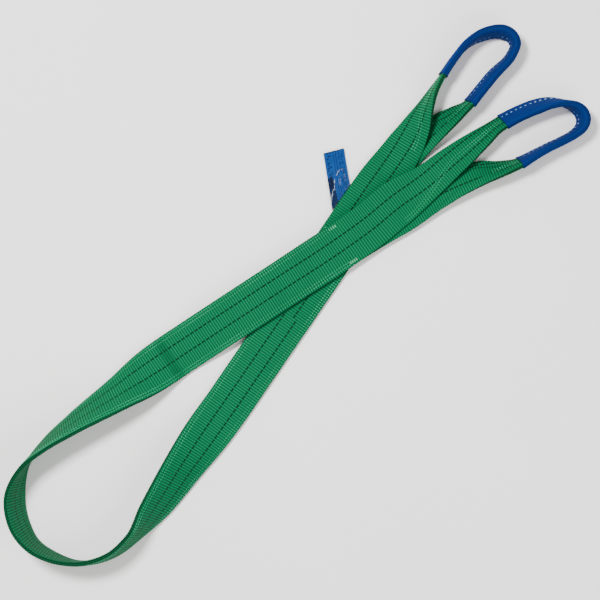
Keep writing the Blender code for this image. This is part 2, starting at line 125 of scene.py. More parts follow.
FINE_STEP = 0.0020          # spacing of the sections that a run is drawn with
MID_LEG = -0.100            # where the lengths of webbing meet on the legs
BIGHT_CUT = 0.060           # where they meet in the bight, past leg B's crease
CREASE_REACH = 0.012        # how far webbing bends on each side of the crease
THROAT_REACH = 0.022        # how far it bends past a throat or the crossing
BEND_LEAD = 0.001           # and before it


# ------------------------------------------------------------------------ settings
class SlingSizes(bpy.types.PropertyGroup):
    """Sizes of the sling's weave and sewing that a user may change."""
    rib_pitch: bpy.props.FloatProperty(
        name="Rib pitch", description="Spacing of the ribs across the webbing",
        default=0.0034, unit="LENGTH")
    rib_height: bpy.props.FloatProperty(
        name="Rib height", description="Height of a rib over its valleys",
        default=0.00045, unit="LENGTH")
    sleeve_stitch: bpy.props.FloatProperty(
        name="Sleeve stitch", description="Spacing of the stitches along a sleeve",
        default=0.0063, unit="LENGTH")
    wrinkle: bpy.props.FloatProperty(
        name="Sleeve wrinkles", description="Height of the sleeves' wrinkles",
        default=0.0007, unit="LENGTH")


class SlingColours(bpy.types.PropertyGroup):
    """Colours of the sling's parts, as sRGB hex values."""
    webbing: bpy.props.StringProperty(
        name="Webbing", description="Crests of the webbing's ribs", default="#037049")
    valley: bpy.props.StringProperty(
        # The valleys' colour is painted shade, darker than the crests'.
        name="Valleys", description="Valleys between the ribs", default="#044425")
    stripe: bpy.props.StringProperty(
        name="Load stripes", description="The two woven lines", default="#02150C")
    # The thread colours are the pale of the threads' painted highlights.
    thread: bpy.props.StringProperty(
        name="Webbing thread", description="Stitches in the webbing", default="#3FB989")
    sleeve: bpy.props.StringProperty(
        name="Sleeve", description="Woven wear sleeves", default="#032866")
    sleeve_thread: bpy.props.StringProperty(
        name="Sleeve thread", description="Stitches in the sleeves", default="#B4CCEC")
    tag: bpy.props.StringProperty(
        name="Tag", description="Label tape", default="#064080")
    print: bpy.props.StringProperty(
        name="Print", description="Marks and panels on the tag", default="#06183C")


def sizes():
    """The sizes that the scene holds."""
    return bpy.context.scene.sling_sizes


def colours():
    """The colours that the scene holds."""
    return bpy.context.scene.sling_colours


# ---------------------------------------------------------------- runs of the band
def smooth(share):
    """A smooth step from 0 to 1: 3 share squared less 2 share cubed."""
    return share * share * (3 - 2 * share)


def smooth_rows(rows, step):
    """Sections on a smooth curve through given rows.

    A row is x, y, height of the lowest point, tilt, width and thickness. The plan
    curve is a Catmull-Rom curve over chord length. The other columns use
    harmonic-mean slopes, so they never pass their own end values.
    """
    rows = np.asarray(rows, float)
    gaps = np.hypot(*np.diff(rows[:, :2], axis=0).T)[:, None]
    slope = np.diff(rows, axis=0) / gaps
    before, after = slope[:-1], slope[1:]
    tangent = np.zeros_like(rows)
    tangent[1:-1] = (before * gaps[1:] + after * gaps[:-1]) / (gaps[1:] + gaps[:-1])
    same_way = before * after > 0
    limited = np.where(same_way, 2 * before * after / np.where(same_way, before + after, 1), 0)
    tangent[1:-1, 2:] = limited[:, 2:]
    tangent[0, :2], tangent[-1, :2] = slope[0, :2], slope[-1, :2]
    knots = np.concatenate([[0], np.cumsum(gaps)])
    at = np.linspace(0, knots[-1], max(2, int(round(knots[-1] / step)) + 1))
    piece = np.clip(np.searchsorted(knots, at, side="right") - 1, 0, len(gaps) - 1)
    span = gaps[piece]
    share = (at - knots[piece])[:, None] / span
    return ((1 + 2 * share) * (1 - share) ** 2 * rows[piece]
            + share * (1 - share) ** 2 * span * tangent[piece]
            + share ** 2 * (3 - 2 * share) * rows[piece + 1]
            + share ** 2 * (share - 1) * span * tangent[piece + 1])


def heading(angle, way=1):
    """The plan direction of a leg, away from the bight, or towards it if way is -1."""
    return way * cos(angle), way * sin(angle)


def framed(sections, inside, starts, ends):
    """A run from smooth sections: across and face turn with the tilt about the path.

    across = cos(tilt) inward + sin(tilt) up, face = cos(tilt) up - sin(tilt) inward,
    and each section is raised so that its lowest corner is at its given height.
    """
    plan = sections[:, :2]
    along = np.gradient(plan, axis=0)
    along /= np.hypot(along[:, 0], along[:, 1])[:, None]
    along[0], along[-1] = starts, ends
    inward = np.c_[-along[:, 1], along[:, 0], np.zeros(len(plan))] * inside
    up = np.array([0.0, 0.0, 1.0])
    tilt = np.radians(sections[:, 3])[:, None]
    across = np.cos(tilt) * inward + np.sin(tilt) * up
    face = -np.sin(tilt) * inward + np.cos(tilt) * up
    width, height = sections[:, 4], sections[:, 5]
    lowest = -width / 2 * np.abs(across[:, 2]) + np.minimum(0, height * face[:, 2])
    foot = plan - height[:, None] / 2 * face[:, :2]
    middle = np.c_[foot, sections[:, 2] - lowest]
    return {"middle": middle, "across": across, "face": face,
            "width": width, "height": height}


def frame_turned(angle, x, y):
    """A point given along and to the left of a leg, in the layout's frame."""
    return x * cos(angle) - y * sin(angle), x * sin(angle) + y * cos(angle)


def leg_rows(angle, rows):
    """Rows given in a leg's own frame, turned into the layout's frame."""
    return [(*frame_turned(angle, row[0], row[1]), *row[2:]) for row in rows]


def layout_origin():
    """Where the layout's origin lies in the frame, from the hinge at leg B's crease."""
    hinge = next(j for j in frame["joints"] if j["name"] == "leg_b_fold")
    x, y = frame_turned(LEG_B, -CREASE, 0)
    return np.array([hinge["pos_m"][0] - x, hinge["pos_m"][1] - y, 0.0])


LAYOUT = layout_origin()


def leg_b_rows(start):
    """Leg B's rows, from a place near its throat back to the crease."""
    ramp_top = -(CROSS_REACH + RAMP_CLEAR)
    ramp_foot = -CREASE + RAMP_LEVEL
    rows = [(start, 0, LIFT, 0, WEB_WIDTH, STACK)]
    for share in np.linspace(0, 1, RAMP_ROWS):
        height = LIFT * (1 - smooth(share))
        rows.append((ramp_top + (ramp_foot - ramp_top) * share, 0, height, 0,
                     WEB_WIDTH, STACK))
    rows.append((-CREASE, 0, 0, 0, WEB_WIDTH, STACK))
    return rows


def bight_rows():
    """The turn-back's rows, from leg B's crease round to the start of leg A."""
    wide = BIGHT_HALF_WIDTH
    end = -BIGHT_REACH
    start_x, start_y = frame_turned(LEG_B, -CREASE, 0)
    near = end + BIGHT_NEAR
    near_y = -near * tan(LEG_A) * BIGHT_DRAW_IN
    out = [(start_x, start_y, 0), (near, near_y, 46), (end + 0.142, wide * 0.93, 67),
           (end + 0.097, wide, 79), (end + 0.063, wide * 0.98, 90),
           (end + 0.024, wide * 0.71, 103), (end + 0.006, wide * 0.37, 101), (end, 0, 94)]
    back = [(end + 0.008, -wide * 0.37, 89), (end + 0.028, -wide * 0.74, 82),
            (end + 0.063, -wide * 0.98, 80), (end + 0.098, -wide * 1.02, 76),
            (end + 0.142, -wide * 0.94, 55), (near, -near_y, 34), (start_x, -start_y, 0)]
    return [(x, y, 0, tilt, WEB_WIDTH, STACK) for x, y, tilt in out + back]


def narrow(share):
    """Width of the webbing after a share of the fold from flat to folded."""
    return WEB_WIDTH + (FOLD_WIDTH - WEB_WIDTH) * share


def thick(share):
    """Thickness of the webbing after a share of the fold."""
    return PLY + (FOLD_THICK - PLY) * share


def folding(rows):
    """Rows that give a share of the fold, with the width and thickness it makes."""
    return [(x, y, base, tilt, narrow(fold), thick(fold)) for x, y, base, tilt, fold in rows]


def part_of(run, first, last):
    """The sections first to last of a run."""
    return {key: value[first:last + 1] for key, value in run.items()}


def joined(*runs):
    """Runs laid end to end, where each starts on the last section of the one before."""
    rest = [part_of(run, 1, len(run["width"]) - 1) for run in runs[1:]]
    return {key: np.concatenate([runs[0][key]] + [run[key] for run in rest])
            for key in runs[0]}


def body_run():
    """The sewn body: leg B from its middle to the crease, the bight, leg A's middle."""
    back, out = heading(LEG_B, -1), heading(LEG_A)
    leg_b = framed(smooth_rows(leg_rows(LEG_B, leg_b_rows(MID_LEG)), FINE_STEP), 1, back, back)
    bight = framed(smooth_rows(bight_rows(), FINE_STEP), 1, back, out)
    flat = [(-CREASE, 0, 0, 0, WEB_WIDTH, STACK), (MID_LEG, 0, 0, 0, WEB_WIDTH, STACK)]
    leg_a = framed(smooth_rows(leg_rows(LEG_A, flat), FINE_STEP), 1, out, out)
    return joined(leg_b, bight, leg_a)


def sewn_run(angle, base):
    """The flat sewn body of one leg, from its middle to its throat."""
    rows = [(MID_LEG, 0, base, 0, WEB_WIDTH, STACK), (THROAT, 0, base, 0, WEB_WIDTH, STACK)]
    way = heading(angle)
    return framed(smooth_rows(leg_rows(angle, rows), FINE_STEP), 1, way, way)


def eye_a_run():
    """Leg A's face ply from its middle, round eye A, and its back ply to the middle."""
    out = folding([(MID_LEG, 0, STEP_UP, 0, 0), (THROAT, 0, STEP_UP, 0, 0),
                   (FOLD_START, 0, STEP_UP, 0, 0), (EXIT, 0, STEP_UP, 0, 0)])
    back = folding([(EXIT, EXIT_SHIFT, 0, 180, 0), (FOLD_START, 0, 0, 180, 0),
                    (THROAT, 0, 0, 180, 0), (MID_LEG, 0, 0, 180, 0)])
    out[-1] = (*out[-1][:4], narrow(EXIT_FOLD), PLY)
    back[0] = (*back[0][:4], narrow(EXIT_FOLD), PLY)
    loop = [
        (0.15, 0.0022, STEP_UP * 0.75, 20, 0.62),
        (0.28, 0.0064, STEP_UP * 0.35, 52, 0.80),
        (0.42, 0.0103, 0.0002, 76, 0.93),
        (0.54, 0.0112, 0, 85, 1),
        (0.65, 0.0115, 0, 87, 1),
        (0.80, 0.0080, 0, 94, 1),
        (0.915, -0.0047, 0, 103, 1),
        (0.98, -0.0203, 0, 104, 1),
        (0.99, -0.0325, 0, 99, 1),
        (0.96, -0.0428, 0, 96, 1),
        (0.90, -0.0458, 0, 99, 1),
        (0.72, -0.0409, 0, 107, 1),
        (0.56, -0.0382, 0, 108, 1),
        (0.48, -0.0368, 0, 109, 1),
        (0.39, -0.0304, 0, 126, 0.93),
        (0.26, -0.0205, 0, 150, 0.80),
        (0.13, -0.0115, 0, 169, 0.60)]
    tip = THROAT + EYE_A_REACH
    rows = [(EXIT + share * (tip - EXIT), *rest) for share, *rest in loop]
    placed = leg_rows(LEG_A, out + folding(rows) + back)
    run = framed(smooth_rows(placed, FINE_STEP), -1, heading(LEG_A), heading(LEG_A, -1))
    return raised_by_sleeve(run, LEG_A)


def eye_b_run():
    """Leg B's face ply from its middle, round eye B, and its back ply to the middle."""
    fall = LIFT + STEP_UP
    drift = THROAT + FOLD_LEAD
    out = [(MID_LEG, 0.0000, fall, 0, 0), (THROAT, 0.0000, fall, 0, 0),
           (drift, 0.0020, fall, 0, 0), (FOLD_START, 0.0060, fall, 0, 0)]
    back = [(FOLD_START, -0.0030, LIFT, 180, 0), (drift, -0.0010, LIFT, 180, 0),
            (THROAT, 0.0000, LIFT, 180, 0), (MID_LEG, 0.0000, LIFT, 180, 0)]
    loop = [
        (-0.02, 0.0085, fall, 3, 0.48),
        (0.12, 0.0120, fall * 0.80, 10, 0.62),
        (0.25, 0.0145, fall * 0.52, 22, 0.74),
        (0.38, 0.0168, fall * 0.26, 40, 0.86),
        (0.51, 0.0188, fall * 0.06, 56, 0.97),
        (0.64, 0.0172, 0, 57, 1),
        (0.76, 0.0126, 0, 58, 1),
        (0.86, 0.0056, 0, 68, 1),
        (0.93, -0.0050, 0, 84, 1),
        (0.97, -0.0165, 0, 98, 1),
        (0.98, -0.0270, 0, 103, 1),
        (0.963, -0.0365, 0, 104, 1),
        (0.92, -0.0424, 0, 102, 1),
        (0.86, -0.0436, 0, 100, 1),
        (0.79, -0.0424, 0, 100, 1),
        (0.69, -0.0397, 0, 101, 1),
        (0.58, -0.0378, 0, 105, 1),
        (0.50, -0.0366, 0, 111, 1),
        (0.38, -0.0295, 0, 126, 0.86),
        (0.27, -0.0205, LIFT * 0.22, 146, 0.74),
        (0.12, -0.0128, LIFT * 0.62, 163, 0.60),
        (-0.02, -0.0080, LIFT, 176, 0.40)]
    tip = THROAT + EYE_B_REACH
    rows = [(EXIT + share * (tip - EXIT), *rest) for share, *rest in loop]
    placed = leg_rows(LEG_B, folding(out + rows + back))
    run = framed(smooth_rows(placed, FINE_STEP), -1, heading(LEG_B), heading(LEG_B, -1))
    return raised_by_sleeve(run, LEG_B)


def length_along(run):
    """Each section's distance from the first one, along the run."""
    steps = np.linalg.norm(np.diff(run["middle"], axis=0), axis=1)
    return np.concatenate([[0], np.cumsum(steps)])


def along_leg(run, angle):
    """Each section's distance from the crossing, along a leg."""
    return run["middle"][:, 0] * cos(angle) + run["middle"][:, 1] * sin(angle)


def sleeve_ends(run, angle):
    """Where an eye's sleeve starts and ends along the run, evenly about the tip."""
    tip = length_along(run)[np.argmax(along_leg(run, angle))]
    return tip - SLEEVE_LENGTH / 2, tip + SLEEVE_LENGTH / 2


def raised_by_sleeve(run, angle):
    """The run lifted by the sleeve's wall, which fades along the webbing past it."""
    start, end = sleeve_ends(run, angle)
    length = length_along(run)
    past = np.maximum(start - length, length - end)
    share = np.clip(1 - past / SLEEVE_FADE, 0, 1)
    spread = np.abs(run["across"][:, 2]) + np.abs(run["face"][:, 2])
    lift = (CLEAR + SLEEVE_WALL) * spread * smooth(share)
    run["middle"] = run["middle"] + lift[:, None] * np.array([0, 0, 1])
    return run


def sampled(run, at):
    """Sections of a run at given lengths along it, between its own by straight lines."""
    length = length_along(run)
    out = {}
    for key, value in run.items():
        columns = value.reshape(len(length), -1).T
        picked = np.stack([np.interp(at, length, column) for column in columns], axis=-1)
        out[key] = picked[..., 0] if value.ndim == 1 else picked
    for key in ("across", "face"):
        out[key] /= np.linalg.norm(out[key], axis=-1)[..., None]
    return out


def placed(run, u, v):
    """Points u across from the middle and v out from the foot of each section."""
    u, v = np.asarray(u)[..., None], np.asarray(v)[..., None]
    middle, across, face = run["middle"], run["across"], run["face"]
    while middle.ndim < u.ndim:
        middle, across, face = middle[:, None], across[:, None], face[:, None]
    return middle + u * across + v * face


# ------------------------------------------------------------------------- meshes
SHARP_ANGLE = 62            # edges that turn by more than this stay sharp


def grid_faces(rows, columns, round_rows=False):
    """Quads of a grid that closes on itself across its columns, and along its rows if
    round_rows is set."""
    i = np.arange(rows if round_rows else rows - 1)[:, None]
    j = np.arange(columns)[None, :]
    i_next, j_next = (i + 1) % rows, (j + 1) % columns
    quads = np.stack([i * columns + j, i * columns + j_next,
                      i_next * columns + j_next, i_next * columns + j], axis=-1)
    return quads.reshape(-1, 4)


def make_mesh(name, points, quads, caps=(), material=None, marks=None):
    """An object from points, quads and end caps, all smooth but for its sharp edges.

    marks is a vector for each point, kept as the attribute that its pattern reads.
    """
    points = np.asarray(points, float).reshape(-1, 3) + LAYOUT
    mesh = bpy.data.meshes.new(name)
    mesh.from_pydata(points, [], [*quads.tolist(), *[list(cap) for cap in caps]])
    if marks is not None:
        layer = mesh.attributes.new("weave", "FLOAT_VECTOR", "POINT")
        layer.data.foreach_set("vector", np.asarray(marks, np.float32).ravel())
    mesh.shade_smooth()
    mesh.set_sharp_from_angle(angle=radians(SHARP_ANGLE))
    if material is not None:
        mesh.materials.append(material)
    item = bpy.data.objects.new(name, mesh)
    bpy.context.collection.objects.link(item)
    return item


def closed_band(name, points, marks, material):
    """A closed solid whose sections are closed loops, capped at both ends."""
    rows, columns = points.shape[:2]
    caps = [range(columns - 1, -1, -1), range((rows - 1) * columns, rows * columns)]
    return make_mesh(name, points, grid_faces(rows, columns), caps, material, marks)


# ------------------------------------------------------------------------ webbing
TOP_COLUMNS = 17            # columns over the face of the webbing
FLAP_COLUMNS = 5            # over each folded flap
UNDER_COLUMNS = 9           # over the face between the flaps
EDGE_COLUMNS = 4            # round each edge
RIB_STATIONS = np.array([0.0, 0.22, 0.5, 0.78])
RIB_SHAPE = np.array([0.0, 0.85, 1.0, 0.85])
PINCH = 0.00045             # how far an edge seam pulls the plies into each other
PINCH_WIDTH = 0.0026
TAPER = 0.0008              # how far each skin comes in at the edge of the sewn body
TAPER_FROM = 0.021          # where that starts, across from the middle
TAPER_WIDTH = 0.008
EDGE_ROUND = 0.0013         # how far the round of an edge reaches in
GROOVE = 0.0012             # least width of the line where the two flaps meet


def rib_stations(start, end):
    """Lengths along a run, the rib height there as a share, and the rib count so far.

    A whole number of ribs fills the length, and each rib has a row in its valley, one
    on its crest and one on each shoulder.
    """
    ribs = int(round((end - start) / sizes().rib_pitch))
    count = (np.arange(ribs)[:, None] + RIB_STATIONS[None]).ravel()
    shape = np.tile(RIB_SHAPE, ribs)
    count, shape = np.append(count, ribs), np.append(shape, 0.0)
    return start + (end - start) * count / ribs, shape, count


def section_columns(width, height):
    """The closed loop round the webbing's section: across, out, and flat place.

    From the left edge over the face to the right edge, round it, back over the right
    flap to its free edge, over the face between the flaps, over the left flap and
    round the left edge. A flap is as wide as the fold has taken from its side, and it
    fills what the folded webbing is thicker than one ply.
    """
    width, height = width[:, None], height[:, None]
    flap_edge = np.maximum(width - WEB_WIDTH / 2, GROOVE / 2)
    flap_top = np.maximum(height - PLY, 0)
    side = width / 2 - EDGE_ROUND
    flap_edge = np.minimum(flap_edge, side)
    top = np.linspace(-1, 1, TOP_COLUMNS)[None]
    turn = np.linspace(pi / 2, -pi / 2, EDGE_COLUMNS + 2)[1:-1][None]
    flap = np.linspace(0, 1, FLAP_COLUMNS)[None]
    under = np.linspace(1, -1, UNDER_COLUMNS)[None]
    ones = np.ones_like
    u = [side * top, side + EDGE_ROUND * np.cos(turn), side + (flap_edge - side) * flap,
         flap_edge * under, -flap_edge + (flap_edge - side) * flap,
         -side - EDGE_ROUND * np.cos(turn[:, ::-1])]
    v = [height * ones(top), height / 2 * (1 + np.sin(turn)), 0 * width * flap,
         flap_top * ones(under), 0 * width * flap,
         height / 2 * (1 + np.sin(turn[:, ::-1]))]
    out_u = [0 * top, np.cos(turn), 0 * flap, 0 * under, 0 * flap, -np.cos(turn[:, ::-1])]
    out_v = [ones(top), np.sin(turn), -ones(flap), -ones(under), -ones(flap),
             np.sin(turn[:, ::-1])]
    rows = len(width)
    spread = [np.broadcast_to(x, (rows, x.shape[1])) for x in out_u + out_v]
    u, v = np.concatenate(u, axis=1), np.concatenate(v, axis=1)
    out_u = np.concatenate(spread[:6], axis=1)
    out_v = np.concatenate(spread[6:], axis=1)
    return u, v, out_u, out_v


def closing(u):
    """How far the sewn body has closed towards its edge: a smooth step across."""
    return smooth(np.clip((np.abs(u) - TAPER_FROM) / TAPER_WIDTH, 0, 1))


def skin_drop(u):
    """How far the sewn body's skin lies in from its full height: taper plus seam.

    The seam's pull is a bell curve, exp(-(distance / width)^2), about its own line.
    """
    seam = np.abs(u) - (WEB_WIDTH / 2 - EDGE_MARGIN)
    return TAPER * closing(u) + PINCH * np.exp(-(seam / PINCH_WIDTH) ** 2)


def sewn_share(run, at, angle):
    """1 along the sewn part of a leg and 0 past its throat, with a smooth end."""
    past = np.interp(at, length_along(run), along_leg(run, angle)) - THROAT
    return smooth(np.clip(1 - past / THROAT_REACH, 0, 1))


def webbing(name, run, start, end, foot, material, angle=None):
    """A length of ribbed webbing: a closed band whose skin follows the ribs.

    Every point of the section stands in by the rib's height, and comes out to the
    full size on a crest: point + (shape - 1) height outwards. Where two plies are
    sewn together, the skin comes in by skin_drop and the gap between the plies
    closes towards their edges. foot is the ply's height in the sewn body, or None
    for an eye, which is sewn only along its leg, at the given angle.
    """
    at, shape, count = rib_stations(start, end)
    part = sampled(run, at)
    height = part["height"] if foot is None else np.full(len(at), PLY)
    u, v, out_u, out_v = section_columns(part["width"], height)
    drop = sizes().rib_height * (shape[:, None] - 1)
    u, v = u + drop * out_u, v + drop * out_v
    sewn = 1.0 if foot is not None else sewn_share(run, at, angle)[:, None]
    outward = -1 if foot == 0 else 1
    from_gap = v / height[:, None] if outward > 0 else 1 - v / height[:, None]
    from_gap = np.clip(from_gap, 0, 1)
    v = v - outward * sewn * (from_gap * skin_drop(u)
                              + (1 - from_gap) * closing(u) * PLY_GAP / 2)
    v = v + (0 if foot is None else foot)
    along = np.broadcast_to((count * sizes().rib_pitch)[:, None], u.shape)
    side = np.broadcast_to(out_v, u.shape)
    marks = np.stack([u, along, side], axis=-1)
    return closed_band(name, placed(part, u, v), marks, material)


# ----------------------------------------------------------------------- stitches
STITCH_ROWS = np.array([0.0, 0.28, 0.72, 1.0])
STITCH_HEIGHT = np.array([-0.6, 0.55, 0.55, -0.6])
STITCH_RADIUS = np.array([0.55, 1.0, 1.0, 0.55])
STITCH_SIDES = 6
STITCH_START = 0.2          # where a stitch starts and ends in its length of seam
STITCH_END = 0.8
STITCH_LEAN = 0.0004        # how far each stitch leans off its row, by turns
EDGE_ROWS = (-0.0019, 0.0019)
TACK_ROWS = (-0.0011, 0.0, 0.0011)
EDGE_THREAD = 0.00034       # radius of the thread in each seam
FOLD_THREAD = 0.00036
TACK_THREAD = 0.00048
SLEEVE_THREAD = 0.00055
SLEEVE_SHARE = 0.54         # how much of the sleeve stitches' spacing is thread
SEAM_PAST_BEND = 0.006      # how far past a bend an edge or fold seam is cut
MOUTH_GAP = 0.001           # from a sleeve's mouth to the fold seams
FOLD_DRIFT = {"a": 0.011, "b": 0.024}       # how far off the middle they start
DRIFT_SHARE = 0.6           # how much of the seam they take to come to it
BACK_DRIFT = 0.004


def stitches(name, starts, ends, normals, radius, material):
    """Separate stitches, each a short round bar that comes up, crosses and goes down.

    Its middle line runs straight from start to end and is moved out along the surface
    normal by a share of the radius in each of four rows. Its section is a ring. The
    radius is one number, or one for each stitch.
    """
    radius = np.broadcast_to(radius, len(starts))[:, None]
    run = ends - starts
    tangent = run / np.linalg.norm(run, axis=1)[:, None]
    side = np.cross(tangent, normals)
    side /= np.linalg.norm(side, axis=1)[:, None]
    turn = np.linspace(0, 2 * pi, STITCH_SIDES, endpoint=False)
    middle = (starts[:, None] + run[:, None] * STITCH_ROWS[None, :, None]
              + normals[:, None] * (STITCH_HEIGHT * radius)[:, :, None])
    ring = (np.cos(turn)[None, None, :, None] * side[:, None, None]
            + np.sin(turn)[None, None, :, None] * normals[:, None, None])
    points = middle[:, :, None] + ring * (STITCH_RADIUS * radius)[:, :, None, None]
    rows, each = len(STITCH_ROWS), len(STITCH_ROWS) * STITCH_SIDES
    quads = grid_faces(rows, STITCH_SIDES)
    shift = (np.arange(len(starts)) * each)[:, None, None]
    quads = (quads[None] + shift).reshape(-1, 4)
    low = np.arange(STITCH_SIDES)[::-1]
    caps = np.concatenate([shift[:, :, 0] + low, shift[:, :, 0] + each - 1 - low])
    return make_mesh(name, points, quads[:, ::-1], caps[:, ::-1].tolist(), material)


def dashes(run, start, end, way):
    """A row of stitches along a sleeve, with gaps between them, on one of its faces."""
    step = sizes().sleeve_stitch
    count = int(round((end - start) / step))
    at = start + (end - start) * (np.arange(count) + STITCH_START) / count
    first, last = sampled(run, at), sampled(run, at + SLEEVE_SHARE * step)
    a, b = (placed(part, sleeve_row(part), sleeve_skin(part, way)) for part in (first, last))
    return a, b, way * first["face"]


def sewn_rows(run, start, end, u_path, v_path, offsets=EDGE_ROWS):
    """Parallel rows of straight stitches, as many in each row as there are ribs."""
    count = max(1, int(round((end - start) / sizes().rib_pitch)))
    spots = np.arange(count)[:, None] + (STITCH_START, STITCH_END)
    at = start + (end - start) * spots / count
    first, last = sampled(run, at[:, 0]), sampled(run, at[:, 1])
    share = np.linspace(0, 1, count)
    rows = []
    for k, offset in enumerate(offsets):
        lean = STITCH_LEAN * (-1) ** (np.arange(count) + k)
        u_first, u_last = u_path(share) + offset - lean, u_path(share) + offset + lean
        rows.append((placed(first, u_first, v_path(first, u_first)),
                     placed(last, u_last, v_path(last, u_last)), first["face"]))
    return together(*rows)


def together(*groups):
    """Several groups of stitches as one."""
    return [np.concatenate(parts) for parts in zip(*groups)]


def sewn_top(part, u):
    """The height of the stitches' ends on the sewn body's face."""
    return part["height"] - skin_drop(u)


def edge_line(side):
    """A seam line that keeps a fixed distance in from one edge of the webbing."""
    return lambda share: side * (WEB_WIDTH / 2 - EDGE_MARGIN) * np.ones_like(share)


def drifting(reach):
    """A seam line that starts a reach off the middle and comes to it by a smooth step."""
    return lambda share: reach * smooth(np.clip(1 - share / DRIFT_SHARE, 0, 1))


# ---------------------------------------------------------------------- materials
MODES = {"Math": "operation", "VectorMath": "operation", "Mix": "data_type",
         "MapRange": "interpolation_type", "TexWhiteNoise": "noise_dimensions",
         "TexWave": "bands_direction"}
WARP_WAVE = 0.0022          # two warp yarns, which lie 1.1 mm apart
STRIPE_PLACES = (-0.185, 0.105)     # the load stripes, as shares of the width
STRIPE_HALF = 0.0008
TWILL = 0.0012              # coarser than the real 0.6 mm, so that the lines show
WEFT = 0.0009
TAPE_RIB = 0.0008
MARK_ROW = 0.0026           # the tag's rows of marks, and one mark in a row
MARK_CELL = 0.0011
THREAD_TWIST = 420.0        # scale of the waves that draw the thread's twist


def hex_colour(text, alpha=1.0):
    """A linear colour from an sRGB hex value."""
    parts = np.array([int(text[i:i + 2], 16) for i in (1, 3, 5)]) / 255
    linear = np.where(parts <= 0.04045, parts / 12.92, ((parts + 0.055) / 1.055) ** 2.4)
    return (*linear.tolist(), alpha)


def add(tree, kind, *values, out=None, **settings):
    """Adds a node of a kind and mode, such as Math.SINE, and gives one of its outputs.

    The values fill the inputs that its mode uses, in order: a socket is linked and
    anything else is set. The output is the one asked for, or the first in use.
    """
    kind, _, mode = kind.partition(".")
    node = tree.nodes.new("ShaderNode" + kind)
    if mode:
        settings[MODES[kind]] = mode
    for key, value in settings.items():
        setattr(node, key, value)
    for socket, value in zip([s for s in node.inputs if s.enabled], values):
        if isinstance(value, bpy.types.NodeSocket):
            tree.links.new(value, socket)
        else:
            socket.default_value = value
    return next(s for s in node.outputs if s.enabled) if out is None else node.outputs[out]


def new_material(name, **constants):
    """A material with one Principled shader, and that shader's constant inputs set."""
    material = bpy.data.materials.new(name)
    material.use_nodes = True
    tree = material.node_tree
    for key, value in constants.items():
        socket = key.replace("_", " ").title().replace("Ior", "IOR")
        tree.nodes["Principled BSDF"].inputs[socket].default_value = value
    return material, tree


def surface(tree, colour, relief=None, depth=0.0, strength=0.0):
    """Gives the shader its colour, and a bump of a depth in metres from a relief."""
    shader = tree.nodes["Principled BSDF"]
    tree.links.new(colour, shader.inputs["Base Color"])
    if relief is not None:
        bump = add(tree, "Bump").node
        bump.inputs["Distance"].default_value = depth
        bump.inputs["Strength"].default_value = strength
        tree.links.new(relief, bump.inputs["Height"])
        tree.links.new(bump.outputs[0], shader.inputs["Normal"])
    return shader


def weave_axes(tree):
    """The across, along and side values that a woven piece's points carry."""
    marks = add(tree, "Attribute", attribute_name="weave", out="Vector")
    return (marks, *add(tree, "SeparateXYZ", marks).node.outputs)


